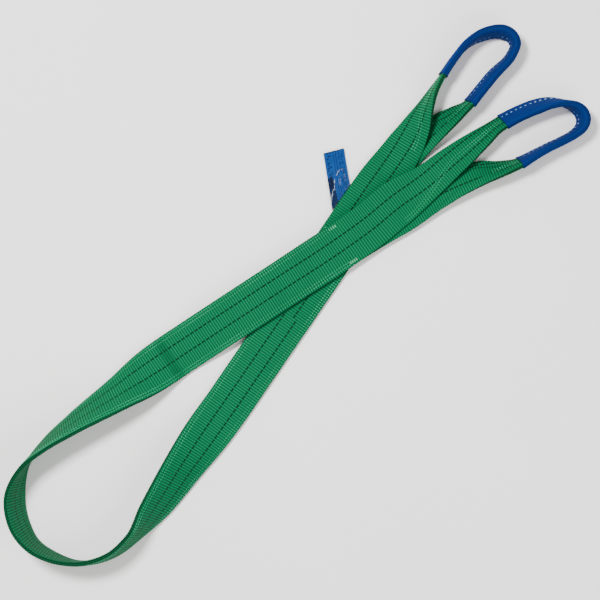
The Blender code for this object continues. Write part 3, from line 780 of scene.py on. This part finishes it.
def ribbed_webbing():
    """Polyester webbing woven in ribs: matt crests over valleys with painted shade.

    The eye sees a light and a dark line for each rib, the dark one painted shade, the
    warp yarns' short floats side by side on each crest with painted shade between them,
    and two black load stripes that float over one rib and dip under the next.
    """
    material, tree = new_material(
        "Ribbed polyester webbing", roughness=0.8, specular_ior_level=0.08)
    vector, across, along, side = weave_axes(tree)
    ribs = add(tree, "Math.DIVIDE", along, sizes().rib_pitch)
    turns = add(tree, "Math.MULTIPLY", ribs, pi)
    wave = add(tree, "Math.ABSOLUTE", add(tree, "Math.SINE", turns))
    crest = add(tree, "MapRange.SMOOTHSTEP", wave, 0.42, 0.86, 0.0, 1.0)
    # Every other rib shows the yarns that lie between those of the last.
    odd = add(tree, "Math.MULTIPLY", add(tree, "Math.FLOOR", ribs), pi)
    yarn_angle = add(tree, "Math.MULTIPLY_ADD", across, 2 * pi / WARP_WAVE, odd)
    yarn = add(tree, "Math.ABSOLUTE", add(tree, "Math.SINE", yarn_angle))
    stretched = add(tree, "VectorMath.MULTIPLY", vector, (900.0, 260.0, 1.0))
    fibre = add(tree, "TexNoise", stretched, 1.0, 3.0)
    broad = add(tree, "TexNoise", vector, 22.0, 1.0)
    light = add(tree, "Mix.RGBA", broad, hex_colour("#025E3A"), hex_colour("#047248"))
    light = add(tree, "Mix.RGBA", add(tree, "Math.MULTIPLY", fibre, 0.9), light,
                hex_colour(colours().webbing))
    glint = add(tree, "MapRange", fibre, 0.60, 0.80, 0.0, 0.5)
    light = add(tree, "Mix.RGBA", glint, light, hex_colour("#158A5C"))
    # Painted shade: the valleys, and the gaps between the warp yarns on the crests, get the valley
    # colour.
    valley = hex_colour(colours().valley)
    green = add(tree, "Mix.RGBA", crest, valley, light)
    between = add(tree, "Math.MULTIPLY", add(tree, "Math.SUBTRACT", 1.0, yarn), 0.35)
    green = add(tree, "Mix.RGBA", between, green, valley)
    # The selvedges are dense; painted shade darkens their sides, the more the further they turn
    # from the face.
    off_face = add(tree, "Math.ABSOLUTE", side)
    selvedge_shade = add(tree, "MapRange.SMOOTHSTEP", off_face, 0.25, 0.95, 0.92, 0.0)
    green = add(tree, "Mix.RGBA", selvedge_shade, green, hex_colour("#022A16"))
    # The load stripes lie off the middle, on both faces.
    stripes = [add(tree, "Math.COMPARE", across, place * WEB_WIDTH, STRIPE_HALF)
               for place in STRIPE_PLACES]
    on_face = add(tree, "Math.GREATER_THAN", off_face, 0.5)
    stripe = add(tree, "Math.MULTIPLY", add(tree, "Math.MAXIMUM", *stripes), on_face)
    float_on = add(tree, "MapRange.SMOOTHSTEP", add(tree, "Math.SINE", turns),
                   -0.65, -0.15, 0.35, 1.0)
    dash = add(tree, "Math.MULTIPLY", stripe, float_on)
    colour = add(tree, "Mix.RGBA", dash, green, hex_colour(colours().stripe))
    # Painted shade in leg B's crease: a dark band, soft-edged and broken.
    apart = add(tree, "VectorMath.SUBTRACT", add(tree, "TexCoord", out="Object"),
                leg_point(LEG_B, -CREASE - CREASE_REACH))
    off_line = add(tree, "VectorMath.DOT_PRODUCT", apart, (*heading(LEG_B), 0.0))
    band = add(tree, "MapRange.SMOOTHSTEP", add(tree, "Math.ABSOLUTE", off_line),
               0.010, 0.002, 0.0, 0.75)
    near = add(tree, "Math.LESS_THAN", add(tree, "VectorMath.LENGTH", apart), WEB_WIDTH)
    crease_shade = add(tree, "Math.MULTIPLY", add(tree, "Math.MULTIPLY", band, near), broad)
    colour = add(tree, "Mix.RGBA", crease_shade, colour, hex_colour("#023A1E"))
    relief = add(tree, "Math.MULTIPLY_ADD", fibre, 0.35,
                 add(tree, "Math.MULTIPLY", yarn, crest))
    surface(tree, colour, relief, 0.00022, 0.8)
    return material


def sewing_thread(name, colour, own_colour):
    """Twisted polyester thread: pale in stretches, which are painted highlights, and
    elsewhere its own colour, nearly that of what it sews."""
    material, tree = new_material(name, roughness=0.6, specular_ior_level=0.25)
    place = add(tree, "TexCoord", out="Object")
    stretch = add(tree, "MapRange.SMOOTHSTEP", add(tree, "TexNoise", place, 26.0, 2.0),
                  0.42, 0.66, 0.0, 1.0)
    single = add(tree, "TexNoise", place, 420.0, 2.0)
    # Painted highlights: pale stretches and single pale specks along the thread.
    painted_highlight = add(tree, "Math.MULTIPLY_ADD", stretch, 0.6,
                add(tree, "Math.MULTIPLY", single, 0.5))
    toned = add(tree, "Mix.RGBA", painted_highlight, hex_colour(own_colour), hex_colour(colour))
    twist = add(tree, "TexWave.DIAGONAL", place, THREAD_TWIST, 1.0, out=1)
    surface(tree, toned, twist, 0.0001, 0.6)
    return material


def woven_sleeve():
    """Flat-woven polyester tube: close twill with a low gloss, and painted shade on its edges."""
    material, tree = new_material(
        "Woven polyester sleeve", roughness=0.8, specular_ior_level=0.06)
    vector, across, along, side = weave_axes(tree)
    slope = add(tree, "Math.MULTIPLY", add(tree, "Math.ADD", across, along), 2 * pi / TWILL)
    twill = add(tree, "Math.SINE", slope)
    weft = add(tree, "Math.SINE", add(tree, "Math.MULTIPLY", along, 2 * pi / WEFT))
    stretched = add(tree, "VectorMath.MULTIPLY", vector, (500.0, 140.0, 1.0))
    fibre = add(tree, "TexNoise", stretched, 1.0, 3.0)
    broad = add(tree, "TexNoise", vector, 30.0, 1.0)
    base = add(tree, "Mix.RGBA", broad, hex_colour("#031E50"), hex_colour("#052C6C"))
    base = add(tree, "Mix.RGBA", add(tree, "Math.MULTIPLY", fibre, 0.5), base,
               hex_colour(colours().sleeve))
    # Painted shade on the sleeve's sides, where they turn away from its faces.
    edge = add(tree, "MapRange.SMOOTHSTEP", add(tree, "Math.ABSOLUTE", side),
               0.75, 0.1, 0.0, 0.55)
    base = add(tree, "Mix.RGBA", edge, base, hex_colour("#031638"))
    relief = add(tree, "Math.MULTIPLY_ADD", twill, 0.5,
                 add(tree, "Math.MULTIPLY_ADD", weft, 0.3, fibre))
    surface(tree, base, relief, 0.00008, 0.5)
    return material


def label_tape():
    """Satin label tape with generic woven marks, rows of short bars and two rules; by the
    leg it is darker along one edge. Nothing on it can be read."""
    material, tree = new_material("Woven label tape", roughness=0.7, specular_ior_level=0.08)
    vector, across, along, _ = weave_axes(tree)
    row = add(tree, "Math.DIVIDE", along, MARK_ROW)
    in_row = add(tree, "Math.COMPARE", add(tree, "Math.FRACT", row), 0.5, 0.28)
    place = add(tree, "CombineXYZ",
                add(tree, "Math.FLOOR", add(tree, "Math.DIVIDE", across, MARK_CELL)),
                add(tree, "Math.FLOOR", row))
    bars = add(tree, "Math.GREATER_THAN", add(tree, "TexWhiteNoise.2D", place), 0.42)
    columns = add(tree, "Math.MAXIMUM", add(tree, "Math.COMPARE", across, -0.0078, 0.0034),
                  add(tree, "Math.COMPARE", across, 0.0078, 0.0030))
    marks = add(tree, "Math.MULTIPLY", add(tree, "Math.MULTIPLY", in_row, bars), columns)
    rules = add(tree, "Math.MAXIMUM", add(tree, "Math.COMPARE", across, -0.0016, 0.0004),
                add(tree, "Math.COMPARE", across, 0.0012, 0.0003))
    end = add(tree, "Math.GREATER_THAN", along, TAG_LENGTH - 0.0012)
    for more in (rules, end):
        marks = add(tree, "Math.MAXIMUM", marks, more)
    blue = add(tree, "Mix.RGBA", add(tree, "TexNoise", vector, 90.0, 2.0),
               hex_colour("#043268"), hex_colour(colours().tag))
    blue = add(tree, "Mix.RGBA", add(tree, "Math.MULTIPLY", marks, 0.95), blue,
               hex_colour(colours().print))
    # The dark panel runs along one edge and narrows a little away from the leg.
    slant = add(tree, "Math.MULTIPLY_ADD", along, -0.075, -0.0042)
    panel = add(tree, "Math.GREATER_THAN", add(tree, "Math.ADD", across, slant), 0.0)
    near = add(tree, "Math.LESS_THAN", along, COVER_LENGTH - 0.003)
    dark = add(tree, "Math.MULTIPLY", add(tree, "Math.MULTIPLY", panel, near), 0.92)
    blue = add(tree, "Mix.RGBA", dark, blue, hex_colour("#040E26"))
    tape = add(tree, "Math.SINE", add(tree, "Math.MULTIPLY", along, 2 * pi / TAPE_RIB))
    surface(tree, blue, tape, 0.00006, 0.5)
    return material


def clear_vinyl():
    """Clear soft vinyl film: almost colourless, glossy, with painted glints along its creases."""
    material, tree = new_material("Clear vinyl film", roughness=0.15, specular_ior_level=0.3)
    vector, across, along, _ = weave_axes(tree)
    # Painted glints: white, less clear film along a crease line and in a few patches.
    crumple = add(tree, "TexNoise", vector, 120.0, 3.0)
    line = add(tree, "Math.MULTIPLY_ADD", along, -0.55,
               add(tree, "Math.MULTIPLY", crumple, 0.016))
    off_line = add(tree, "Math.SUBTRACT", across, add(tree, "Math.ADD", line, 0.0085))
    crease = add(tree, "MapRange.SMOOTHSTEP", add(tree, "Math.ABSOLUTE", off_line),
                 0.0011, 0.0002, 0.0, 1.0)
    glint_patch = add(tree, "MapRange.SMOOTHSTEP", crumple, 0.66, 0.76, 0.0, 0.30)
    white = add(tree, "Math.MAXIMUM", add(tree, "Math.MULTIPLY", crease, crumple), glint_patch)
    film = add(tree, "Mix.RGBA", white, hex_colour("#2C4F80"), hex_colour("#E8EEF6"))
    shader = surface(tree, film, crumple, 0.0010, 0.8)
    tree.links.new(add(tree, "Math.MULTIPLY_ADD", white, 0.75, 0.05), shader.inputs["Alpha"])
    return material


def pale_floor():
    """Matt white paper, so faintly mottled that it reads as plain."""
    material, tree = new_material("Matt white paper", roughness=0.9)
    mottle = add(tree, "TexNoise", add(tree, "TexCoord", out="Object"), 6.0, 2.0)
    surface(tree, add(tree, "Mix.RGBA", mottle, hex_colour("#FAFAFA"), hex_colour("#FFFFFF")))
    return material


_made = {}


def finish_of(name):
    """The material for a finish, made the first time that it is asked for."""
    makers = {
        "webbing": ribbed_webbing,
        "webbing_thread": lambda: sewing_thread("Pale green polyester thread", colours().thread,
                                                "#07804F"),
        # The tacks' thread is paler, with the same painted highlights.
        "bright_thread": lambda: sewing_thread("Brighter pale green polyester thread",
                                              "#6FC79B", "#0F8C5C"),
        "sleeve": woven_sleeve,
        "sleeve_thread": lambda: sewing_thread("Pale blue polyester thread",
                                               colours().sleeve_thread, "#5284C4"),
        "tag": label_tape,
        "clear_film": clear_vinyl,
        "floor": pale_floor}
    if name not in _made:
        _made[name] = makers[name]()
    return _made[name]


# ----------------------------------------------------------------------- settling
def leg_point(angle, x, z=0.0):
    """A point on a leg's middle line, in the frame."""
    return (*(np.array(frame_turned(angle, x, 0)) + LAYOUT[:2]), z)


def settle(piece, nodes, bodies, bend=None):
    """Hides a piece's CAD nodes and puts it on its first body, or, with a bend, only bakes it in
    place.
    """
    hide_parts(*nodes)
    if bend is None:
        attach(piece, bodies[0])
    else:
        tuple(bend[0])
        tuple(bend[1])
        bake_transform(piece)
    return piece


def sew(name, node, rows, radius, bodies, bend=None, slot="webbing_thread", finish=None):
    """Makes rows of stitches one piece, which stands for a CAD seam."""
    piece = stitches(f"{name}_stitches", *rows, radius, finish_of(finish or slot))
    settle(piece, [node], bodies, bend)


ROOT = "bight_and_leg_a"


def crease_bend():
    """Where webbing turns between the bight and leg B."""
    return (leg_point(LEG_B, -CREASE - CREASE_REACH), leg_point(LEG_B, -CREASE + CREASE_REACH))


def eye_bend(letter):
    """Where webbing turns between a leg and its eye."""
    angle, start = (LEG_A, EXIT) if letter == "a" else (LEG_B, THROAT)
    return leg_point(angle, start - BEND_LEAD), leg_point(angle, start + THROAT_REACH)


# ---------------------------------------------------------------------- operators
class SLING_OT_body(bpy.types.Operator):
    """Makes the sewn body's two plies of webbing, round the bight and up both legs"""
    bl_idname = "sling.body"
    bl_label = "Webbing of the body"

    def execute(self, context):
        """Both plies, each cut in the bight, so that leg B's part is a piece of its own."""
        run = body_run()
        total = length_along(run)[-1]
        cut = CREASE + MID_LEG + BIGHT_CUT
        for word, foot in (("face", STEP_UP), ("back", 0)):
            piece = webbing(f"bight_{word}_webbing", run, cut, total, foot,
                            finish_of("webbing"))
            settle(piece, [f"bight_{word}_ply"], [ROOT])
            piece = webbing(f"leg_b_{word}_webbing", run, 0, cut, foot,
                            finish_of("webbing"))
            settle(piece, [f"leg_b_{word}_ply"], [ROOT, "leg_b"], crease_bend())
        return {"FINISHED"}


class SLING_OT_eyes(bpy.types.Operator):
    """Makes the webbing of both eyes, from the middle of a leg round and back"""
    bl_idname = "sling.eyes"
    bl_label = "Webbing of the eyes"

    def execute(self, context):
        """One length for each eye, which takes in its leg's two plies."""
        for letter, run, angle, parent, nodes in (
                ("a", eye_a_run(), LEG_A, ROOT, ["leg_a_face_ply", "leg_a_back_ply"]),
                ("b", eye_b_run(), LEG_B, "leg_b", [])):
            total = length_along(run)[-1]
            piece = webbing(f"eye_{letter}_folded_webbing", run, 0, total, None,
                            finish_of("webbing"), angle)
            settle(piece, [f"eye_{letter}_webbing", *nodes],
                   [parent, f"eye_{letter}"], eye_bend(letter))
        return {"FINISHED"}


SLEEVE_COLUMNS = 56
SLEEVE_POWER = 3.6          # how square the sleeve's section is
SLEEVE_STEP = 0.0011
SLEEVE_DENT = 0.00035       # how far its row of stitches pulls the sleeve in
INNER_FADE = 0.55           # thickness of the inner row's thread, as a share of the outer's
SEAM_HOLLOW = 0.0016        # half width of that dent
BEND_WINDOW = 17            # sections over which the eye's bend is averaged
FULL_BEND = 45.0            # the bend, in radians a metre, where wrinkles are at full height
MOUTH_REACH = 0.004         # how far the flare goes in from a mouth, and its height
MOUTH_FLARE = 0.0006
FOLD_PITCH = 0.0071         # spacing of the wrinkles on the inner face
SLACK_PITCHES = (0.031, 0.047)      # and of the two waves of slack all round
SLACK_SHARE = 0.30


def sleeve_half(part):
    """Half the sleeve's width and half its thickness at each section."""
    grown = CLEAR + SLEEVE_WALL
    return part["width"] / 2 + grown, part["height"] / 2 + grown


def sleeve_row(part):
    """The sleeve's row of stitches, near the edge that stands on the surface."""
    return SLEEVE_SEAM_MARGIN - sleeve_half(part)[0]


def sleeve_skin(part, way):
    """The height of the sleeve's outside at its row: b (1 - |u/a|^n)^(1/n)."""
    half_u, half_v = sleeve_half(part)
    share = (1 - np.abs(sleeve_row(part) / half_u) ** SLEEVE_POWER) ** (1 / SLEEVE_POWER)
    return part["height"] / 2 + way * (half_v * share - SLEEVE_DENT)


def sleeve_shell(name, run, angle, material):
    """A wear sleeve: a flat tube, round-cornered in section, open at both ends.

    Its section is a superellipse, |u/a|^n + |v/b|^n = 1, round the folded webbing.
    Low sine waves along and round it make wrinkles, which are highest where the eye
    bends inwards. The surface goes out along the outside, turns in at the far mouth
    and comes back along the inside, so it closes on itself both ways.
    """
    start, end = sleeve_ends(run, angle)
    at = np.linspace(start, end, int((end - start) / SLEEVE_STEP))
    part = sampled(run, at)
    tangent = np.gradient(part["middle"], axis=0)
    tangent /= np.linalg.norm(tangent, axis=1)[:, None]
    bend = np.linalg.norm(np.gradient(tangent, axis=0), axis=1) / (at[1] - at[0])
    bend = np.convolve(np.pad(bend, BEND_WINDOW // 2, mode="edge"),
                       np.ones(BEND_WINDOW) / BEND_WINDOW, mode="valid")
    tightness = np.clip(bend / FULL_BEND, 0, 1)[:, None]
    turn = np.linspace(0, 2 * pi, SLEEVE_COLUMNS, endpoint=False)[None]
    c, s = np.cos(turn), np.sin(turn)
    round_out = (np.abs(c) ** SLEEVE_POWER + np.abs(s) ** SLEEVE_POWER) ** (-1 / SLEEVE_POWER)
    half_u, half_v = (half[:, None] for half in sleeve_half(part))
    mouth = np.exp(-np.minimum(at - start, end - at) / MOUTH_REACH)[:, None]
    off_seam = half_u * c * round_out + half_u - SLEEVE_SEAM_MARGIN
    seam = np.exp(-(off_seam / SEAM_HOLLOW) ** 2)
    length = at[:, None] - start
    inner_face = np.clip(-s, 0, 1)
    folds = np.sin(2 * pi * length / FOLD_PITCH + 1.5 * np.sin(2 * turn)) * 0.5 + 0.5
    folds = folds * inner_face * tightness
    slack = (np.sin(2 * pi * length / SLACK_PITCHES[0] + 2 * turn)
             * np.sin(2 * pi * length / SLACK_PITCHES[1] - turn))
    swell = sizes().wrinkle * (folds + SLACK_SHARE * (slack + 1) / 2) + MOUTH_FLARE * mouth
    swell = swell - SLEEVE_DENT * seam
    rings = []
    for inset in (0, SLEEVE_WALL):
        u = (half_u - inset) * c * round_out + 0.3 * swell * c
        v = part["height"][:, None] / 2 + (half_v - inset) * s * round_out + swell * s
        rings.append((u, v))
    (u_out, v_out), (u_in, v_in) = rings
    points = np.concatenate([placed(part, u_out, v_out),
                             placed(part, u_in, v_in)[::-1]])
    side = np.broadcast_to(s * round_out, u_out.shape)
    along = np.broadcast_to(length, u_out.shape)
    marks = np.stack([u_out, along, side], axis=-1)
    marks = np.concatenate([marks, marks[::-1]])
    quads = grid_faces(len(points), SLEEVE_COLUMNS, round_rows=True)
    return make_mesh(name, points, quads[:, ::-1], (), material, marks)


class SLING_OT_sleeves(bpy.types.Operator):
    """Makes the two woven wear sleeves and the stitches along them"""
    bl_idname = "sling.sleeves"
    bl_label = "Wear sleeves"

    def execute(self, context):
        """Each sleeve with a row of stitches that shows on both of its faces."""
        for letter, run, angle in (("a", eye_a_run(), LEG_A), ("b", eye_b_run(), LEG_B)):
            body = f"eye_{letter}"
            shell = sleeve_shell(f"{body}_sleeve", run, angle, finish_of("sleeve"))
            settle(shell, [f"{body}_wear_sleeve"], [body])
            start, end = sleeve_ends(run, angle)
            rows = together(*[dashes(run, start, end, way) for way in (1, -1)])
            radius = SLEEVE_THREAD * np.repeat([1.0, INNER_FADE], len(rows[0]) // 2)
            sew(f"{body}_sleeve", f"{body}_sleeve_seam", rows, radius, [body],
                slot="sleeve_thread")
        return {"FINISHED"}


class SLING_OT_seams(bpy.types.Operator):
    """Makes the edge seams of the body, its end tacks and the eyes' fold seams"""
    bl_idname = "sling.seams"
    bl_label = "Seams"

    def execute(self, context):
        """Edge seams, cut near the crease, so that leg B's part is a piece of its own."""
        body = body_run()
        total = length_along(body)[-1]
        leg_a, leg_b = sewn_run(LEG_A, 0.0), sewn_run(LEG_B, LIFT)
        tacks_from = length_along(leg_a)[-1] - TACK_LENGTH
        cut = CREASE + MID_LEG + CREASE_REACH + SEAM_PAST_BEND
        end_a = total - (CREASE + MID_LEG)
        for side, word in ((-1, "outer"), (1, "inner")):
            # Leg B's own run is drawn the other way, so its line has the other sign.
            line, turned = edge_line(side), edge_line(-side)
            rows = sewn_rows(body, cut, end_a, line, sewn_top)
            sew(f"bight_{word}_edge", f"bight_{word}_edge_seam", rows, EDGE_THREAD, [ROOT])
            rows = together(sewn_rows(body, end_a, total, line, sewn_top),
                            sewn_rows(leg_a, 0, tacks_from, line, sewn_top))
            sew(f"leg_a_{word}_edge", f"leg_a_{word}_edge_seam", rows, EDGE_THREAD, [ROOT])
            rows = together(sewn_rows(body, 0, cut, line, sewn_top),
                            sewn_rows(leg_b, 0, tacks_from, turned, sewn_top))
            sew(f"leg_b_{word}_edge", f"leg_b_{word}_edge_seam", rows, EDGE_THREAD,
                [ROOT, "leg_b"], crease_bend())
        for name, run, parent in (("leg_a", leg_a, ROOT), ("leg_b", leg_b, "leg_b")):
            for side, word in ((1, "left"), (-1, "right")):
                rows = sewn_rows(run, tacks_from, length_along(run)[-1], edge_line(side),
                                 sewn_top, TACK_ROWS)
                sew(f"{name}_{word}_tack", f"{name}_{word}_end_tack", rows, TACK_THREAD,
                    [parent], finish="bright_thread")
        for letter, run, angle, parent, first in (
                ("a", eye_a_run(), LEG_A, ROOT, EXIT + SEAM_PAST_BEND),
                ("b", eye_b_run(), LEG_B, "leg_b", FOLD_START)):
            start, end = sleeve_ends(run, angle)
            begin = length_along(run)[np.argmax(along_leg(run, angle) >= first)]
            upper = sewn_rows(run, begin, start - MOUTH_GAP, drifting(FOLD_DRIFT[letter]),
                              lambda part, u: part["height"])
            a, b, normals = sewn_rows(run, end + MOUTH_GAP, end + LOWER_SEAM,
                                      lambda share: BACK_DRIFT * share, lambda part, u: 0 * u)
            for word, rows in (("upper", upper), ("lower", (a, b, -normals))):
                name = f"eye_{letter}_{word}_fold"
                sew(name, f"{name}_seam", rows, FOLD_THREAD, [parent, f"eye_{letter}"],
                    eye_bend(letter))
        return {"FINISHED"}


END_SLANT = 0.0013          # how much longer than the middle the tag's one end corner is
TAG_ROWS = 48
TAG_COLUMNS = 24
LOOSE_REACH = 0.012         # how far out from the leg the tag becomes free to curl
CURL = 0.0006               # height of its long wave, and how many waves it has
CURL_WAVES = 1.4
CUPPING = 0.0008            # how far its end's corners rise
COVER_CRUMPLE = 0.0004


def tag_sheet(name, root_y, reach, width, foot, height, material, crumple=0.0):
    """A sheet of the tag: cut along the leg's edge at one end, nearly square at the other.

    Its plan is a blend of straight lines between the root line and the end line.
    Outside the leg it slopes down to the surface, and low waves curl it. A border of
    the same grid closes it to its lower face.
    """
    turn = radians(TAG_TURN)
    rows, columns = TAG_ROWS, TAG_COLUMNS
    slant = width / 2 / sin(turn)
    middle_x = TAG_AT + root_y / tan(turn)
    t = np.linspace(0, 1, rows)[:, None]
    w = np.linspace(-1, 1, columns)[None]
    root_x = middle_x - slant * w
    cut = reach - END_SLANT * w * np.sign(reach)
    end_x = middle_x + cut * cos(turn) - sin(turn) * width / 2 * w
    end_y = root_y + cut * sin(turn) + cos(turn) * width / 2 * w
    x = root_x + (end_x - root_x) * t
    y = root_y + (end_y - root_y) * t
    far = 2 * CLEAR + TAG_LENGTH * sin(turn) + cos(turn) * TAG_WIDTH / 2
    z = foot - TAB_FOOT * np.clip(y, 0, None) / far
    loose = np.clip(np.maximum(y, 0) / LOOSE_REACH, 0, 1)
    z = z + loose * (CURL * (1 - np.cos(2 * pi * t * CURL_WAVES)) * (1 + 0.6 * w)
                     + CUPPING * t * t * (w ** 2))
    z = z + loose * crumple * (1 + np.sin(9 * t + 5 * w) * np.cos(13 * t - 7 * w))
    plan = frame_turned(LEG_A, x, y + WEB_WIDTH / 2)
    low = np.stack([plan[0], plan[1], z], axis=-1)
    high = low + np.array([0, 0, height])
    across = np.broadcast_to(w * width / 2, x.shape)
    along = np.broadcast_to(t * abs(reach), x.shape)
    marks = np.stack([across, along, np.ones_like(across)], axis=-1)
    loop = np.concatenate([high, low[:, ::-1]], axis=1)
    marks = np.concatenate([marks, marks[:, ::-1]], axis=1)
    quads = grid_faces(rows, 2 * columns)
    caps = [range(2 * columns - 1, -1, -1), range((rows - 1) * 2 * columns, rows * 2 * columns)]
    flip = 1 if reach > 0 else -1
    caps = [list(cap)[::flip] for cap in caps]
    return make_mesh(name, loop, quads[:, ::flip], caps, material, marks)


class SLING_OT_tag(bpy.types.Operator):
    """Makes the tag: its sewn-in tab, its loose flap and the clear cover"""
    bl_idname = "sling.tag"
    bl_label = "Tag"

    def execute(self, context):
        """Three thin sheets that lie on each other."""
        tab = tag_sheet("tag_sewn_tab", -CLEAR, -TAG_TAB, TAG_WIDTH, TAB_FOOT, TAG_THICK,
                        finish_of("tag"))
        settle(tab, ["tag_tab"], [ROOT])
        flap = tag_sheet("tag_label_flap", 2 * CLEAR, TAG_LENGTH, TAG_WIDTH, TAB_FOOT,
                         TAG_THICK, finish_of("tag"))
        settle(flap, ["tag_flap"], ["tag"])
        cover = tag_sheet("tag_vinyl_cover", 2 * CLEAR, COVER_LENGTH,
                          TAG_WIDTH + 2 * COVER_OVERHANG, TAB_FOOT + TAG_THICK + CLEAR,
                          COVER_THICK, finish_of("clear_film"), COVER_CRUMPLE)
        settle(cover, ["tag_clear_cover"], ["tag"])
        return {"FINISHED"}


# -------------------------------------------------------------------------- stage
CAMERA_HEIGHT = 2.0
VIEW_WIDTH = 0.771          # width of the floor that the camera sees
VIEW_MIDDLE = (-0.075, -0.015)
SLING_TURN = 44.4           # the sling's length, turned up from the view's right
SENSOR = 36.0
FLOOR_HALF = 6.0
FLOOR_DROP = 0.0002         # the floor lies this far under the sling
LAMPS = (                   # name, place right of and above the view's middle, height,
    ("key_light", (-0.70, 0.66), 2.1, 0.45, 90.0),      # size and power
    ("fill_light", (0.85, -0.80), 1.2, 1.2, 16.0))
SKY = 0.66                  # strength of the even light from all round


def aimed(direction):
    """A rotation that looks along a direction, with the view's top up."""
    return Vector(direction).to_track_quat("-Z", "Y").to_matrix().to_4x4()


class SLING_OT_stage(bpy.types.Operator):
    """Makes the floor, the soft studio light and the camera"""
    bl_idname = "sling.stage"
    bl_label = "Stage"

    def execute(self, context):
        """A white sheet, a key light at the upper left, a weak fill, a camera above."""
        x, y = np.array(VIEW_MIDDLE) + LAYOUT[:2]
        corners = [(x + a * FLOOR_HALF, y + b * FLOOR_HALF, -FLOOR_DROP)
                   for a, b in ((-1, -1), (1, -1), (1, 1), (-1, 1))]
        mesh = bpy.data.meshes.new("stage_floor")
        mesh.from_pydata(corners, [], [(0, 1, 2, 3)])
        mesh.materials.append(finish_of("floor"))
        floor = bpy.data.objects.new("stage_floor", mesh)
        context.collection.objects.link(floor)
        turn = radians(SLING_TURN)
        camera = bpy.data.cameras.new("camera")
        camera.lens = SENSOR * CAMERA_HEIGHT / VIEW_WIDTH
        camera.sensor_width = SENSOR
        eye = bpy.data.objects.new("camera", camera)
        eye.matrix_world = (Matrix.Translation((x, y, CAMERA_HEIGHT))
                            @ Matrix.Rotation(-turn, 4, "Z"))
        context.collection.objects.link(eye)
        context.scene.camera = eye
        for lamp in LAMPS:
            self.lamp(context, *lamp, turn, (x, y))
        world = context.scene.world or bpy.data.worlds.new("studio")
        context.scene.world = world
        world.use_nodes = True
        back = world.node_tree.nodes["Background"]
        back.inputs["Color"].default_value = hex_colour("#FAF4F2")
        back.inputs["Strength"].default_value = SKY
        return {"FINISHED"}

    def lamp(self, context, name, view_place, height, size, power, turn, middle):
        """A square soft light, placed to the right of and up from the view's middle."""
        right = np.array([cos(turn), -sin(turn)])
        up = np.array([sin(turn), cos(turn)])
        plan = right * view_place[0] + up * view_place[1]
        light = bpy.data.lights.new(name, "AREA")
        light.energy = power
        light.size = size
        lamp = bpy.data.objects.new(name, light)
        rotation = aimed((-plan[0], -plan[1], -height))
        place = (middle[0] + plan[0], middle[1] + plan[1], height)
        lamp.matrix_world = Matrix.Translation(place) @ rotation
        context.collection.objects.link(lamp)


class SLING_PT_panel(bpy.types.Panel):
    """Lists the sling's sizes, colours and the steps that make it"""
    bl_idname = "SLING_PT_panel"
    bl_label = "Flat web sling"
    bl_space_type = "VIEW_3D"
    bl_region_type = "UI"
    bl_category = "Sling"

    def draw(self, context):
        """One line for each property and one button for each operator."""
        for group in (context.scene.sling_sizes, context.scene.sling_colours):
            for key in group.bl_rna.properties.keys():
                if key not in ("rna_type", "name"):
                    self.layout.prop(group, key)
        for step in STEPS:
            self.layout.operator(step.bl_idname)


STEPS = (SLING_OT_stage, SLING_OT_body, SLING_OT_eyes, SLING_OT_sleeves, SLING_OT_seams,
         SLING_OT_tag)
CLASSES = (SlingSizes, SlingColours, *STEPS, SLING_PT_panel)


def register():
    """Registers the classes and hangs the settings on the scene."""
    for cls in CLASSES:
        bpy.utils.register_class(cls)
    bpy.types.Scene.sling_sizes = bpy.props.PointerProperty(type=SlingSizes)
    bpy.types.Scene.sling_colours = bpy.props.PointerProperty(type=SlingColours)


def unregister():
    """Takes the settings off the scene and unregisters the classes."""
    del bpy.types.Scene.sling_colours
    del bpy.types.Scene.sling_sizes
    for cls in reversed(CLASSES):
        bpy.utils.unregister_class(cls)


def main():
    """Registers the add-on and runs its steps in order."""
    register()
    for step in STEPS:
        group, name = step.bl_idname.split(".")
        getattr(getattr(bpy.ops, group), name)()


if __name__ == "__main__":
    main()
